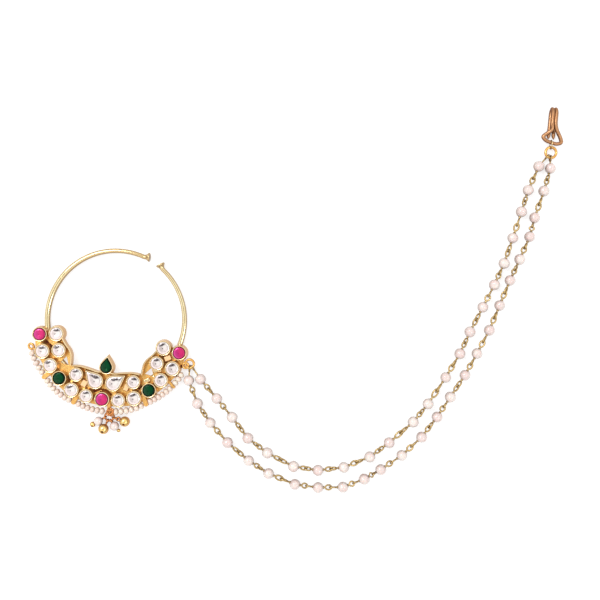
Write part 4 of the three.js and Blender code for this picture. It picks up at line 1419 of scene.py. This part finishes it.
for drop in DROPS:
    heading = towards(drop.turn)
    on_ring = ring_middle + towards(drop.at) * DANGLE_RING
    from_wire = link_shift + link_inside + LOOP_RADIUS if drop.on_link else SLACK
    loop = on_ring + heading * from_wire
    middle = level(loop + heading * drop.reach, drop.bead / 2)
    up = UP if drop.on_link else heading.cross(UP)
    drop_wires.append((oval(loop, heading, up, LOOP_SEEN, LOOP_SEEN), DROP_SEEN, True))
    pin = loop + heading * LOOP_RADIUS
    drop_wires.append((straight(pin, middle), DROP_SEEN, False))
    if drop.gold:
        ball(middle, drop.bead, 0.5)
    else:
        lathe(drop_pearls, ball_outline(drop.bead, 0), middle, heading, 40)
    if drop.tip:
        tip = middle + heading * drop.tip_reach
        tip.z = max(drop.tip / 2, middle.z - drop.bead / 4)
        drop_wires.append((straight(middle, tip), DROP_WIRE, False))
        ball(tip, drop.tip, 0.16 * drop.tip)

nodes = ["drop_" + drop.name for drop in DROPS]
wires("drop_pins", drop_wires, COPPER, nodes, 12)
drop_pearls.piece("drop_pearls", PEARL, "pearl", [n for n in nodes if "pearl" in n], 80)
drop_balls.piece("drop_balls", BALL_GOLD, "gold", [n for n in nodes if "ball" in n], 50)
hole_shade_plugs.piece("drop_ball_holes", RECESS_SHADE, None, [])

# %% Knot, ring and link
KNOT_WIRE, KNOT_HEIGHT, KNOT_TILT, RING_SEEN, LINK_SEEN = 0.6, 3.1, 0.35, 0.7, 0.6
TURNS_OF_KNOT = ((20, 1.4, 0.8, 0.25), (-35, 1.35, 0.75, 0.45), (80, 1.2, 0.8, 0.6))
knot_middle = spot(TABS[3].along + 0.1, TABS[3].out - 0.05, 1, KNOT_HEIGHT)
knot = []
for turn, long, wide, rise in TURNS_OF_KNOT:
    ahead = towards(turn)
    tilt_up = (UP + ahead.cross(UP) * KNOT_TILT).normalized()
    knot.append((oval(knot_middle + UP * rise, ahead, tilt_up, long, wide), KNOT_WIRE, True))
wires("lug_knot", knot, COPPER, [], 12)

ring_line = oval(ring_middle, X, UP, DANGLE_RING, DANGLE_RING, 64)
wires("drop_ring", [(ring_line, RING_SEEN, True)], COPPER, ["dangle_ring"])
heading = towards(LINK_TURN)
link_at = ring_middle + heading * (DANGLE_RING + link_shift)
link_line = oval(link_at, heading, heading.cross(UP), LINK_REACH, LOOP_SEEN + 0.05)
wires("drop_link", [(link_line, LINK_SEEN, True)], COPPER, ["dangle_link"], 12)

# %% [markdown]
# ## Table and light
#
# A white board fills the view, lit a little from below like a light table, which keeps the shadows
# faint. The light is a pale room: bright overhead, as under a large sheet of diffusing cloth, and
# duller and warmer towards the horizon, so that the metal has something darker to mirror at its
# edges. Near the top the cloth is a little greyer, and straight above, where the camera hangs, it
# has a dark opening, which draws a thin line along every polished wire. Where the camera itself
# sees past the board the room is one plain pale grey. A softbox at the upper left gives the pearls
# their highlight, and a small one at the lower right answers it. The Standard view keeps the board
# white and the colours plain.

# %% White board
BOARD_HALF = 1.5
corners = [(-1, -1, 0), (1, -1, 0), (1, 1, 0), (-1, 1, 0)]
board_mesh = bpy.data.meshes.new("white_board")
board_mesh.from_pydata([Vector(c) * BOARD_HALF for c in corners], [], [[0, 1, 2, 3]])
board_finish, tree, shader = material("white_paper")
paper = blend(tree, mottled(tree, 400.0, 2.0), (0.43, 0.43, 0.43), (0.47, 0.47, 0.47))
fill(tree, shader, {
    "Base Color": paper,
    "Roughness": 0.9,
    "Emission Color": (1.0, 1.0, 1.0, 1.0),
    "Emission Strength": 0.68,
})
board_mesh.materials.append(board_finish)
board = in_scene("white_board", board_mesh)
board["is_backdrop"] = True

# %% Lamps


def lamp(name, place, size, power):
    """A square softbox that faces the middle of the jewel."""
    data = bpy.data.lights.new(name, "AREA")
    data.shape = "RECTANGLE"
    data.size = data.size_y = size
    data.energy = power
    made = in_scene(name, data)
    made.location = place
    made.rotation_euler = (-Vector(place)).to_track_quat("-Z", "Y").to_euler()


lamp("left_softbox", (-0.40, 0.30, 0.80), 0.34, 3.2)
lamp("right_softbox", (0.55, -0.25, 0.75), 0.22, 0.8)

# %% The pale room
world = bpy.data.worlds.new("pale_room")
world.use_nodes = True
room = world.node_tree
height = axis_of(room, node(room, "ShaderNodeTexCoord").outputs["Generated"], 2)
tone = (0.24, 0.19, 0.15)
for start, full, colour in (
    (0.15, 0.55, (1.15, 1.14, 1.14)), (0.88, 0.93, (0.82, 0.81, 0.80)),
    (0.968, 0.984, (0.16, 0.15, 0.14)),
):
    tone = blend(room, spread(room, height, start, full), tone, colour)
in_view = node(room, "ShaderNodeLightPath").outputs["Is Camera Ray"]
tone = blend(room, in_view, tone, (0.86, 0.86, 0.86))
fill(room, room.nodes["Background"], {0: tone})
bpy.context.scene.world = world
bpy.context.scene.view_settings.view_transform = "Standard"

# %% [markdown]
# ## Sizes, and the end
#
# The fine pieces must fill the same box as the frame. Both boxes are printed.

# %% Print the boxes
low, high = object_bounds()
sizes = {"cad": [list(cad_low), list(cad_high)], "visual": [list(low), list(high)]}
for name, (a, b) in sizes.items():
    print(name, "box (mm):", [round((q - p) / MM, 2) for p, q in zip(a, b)])
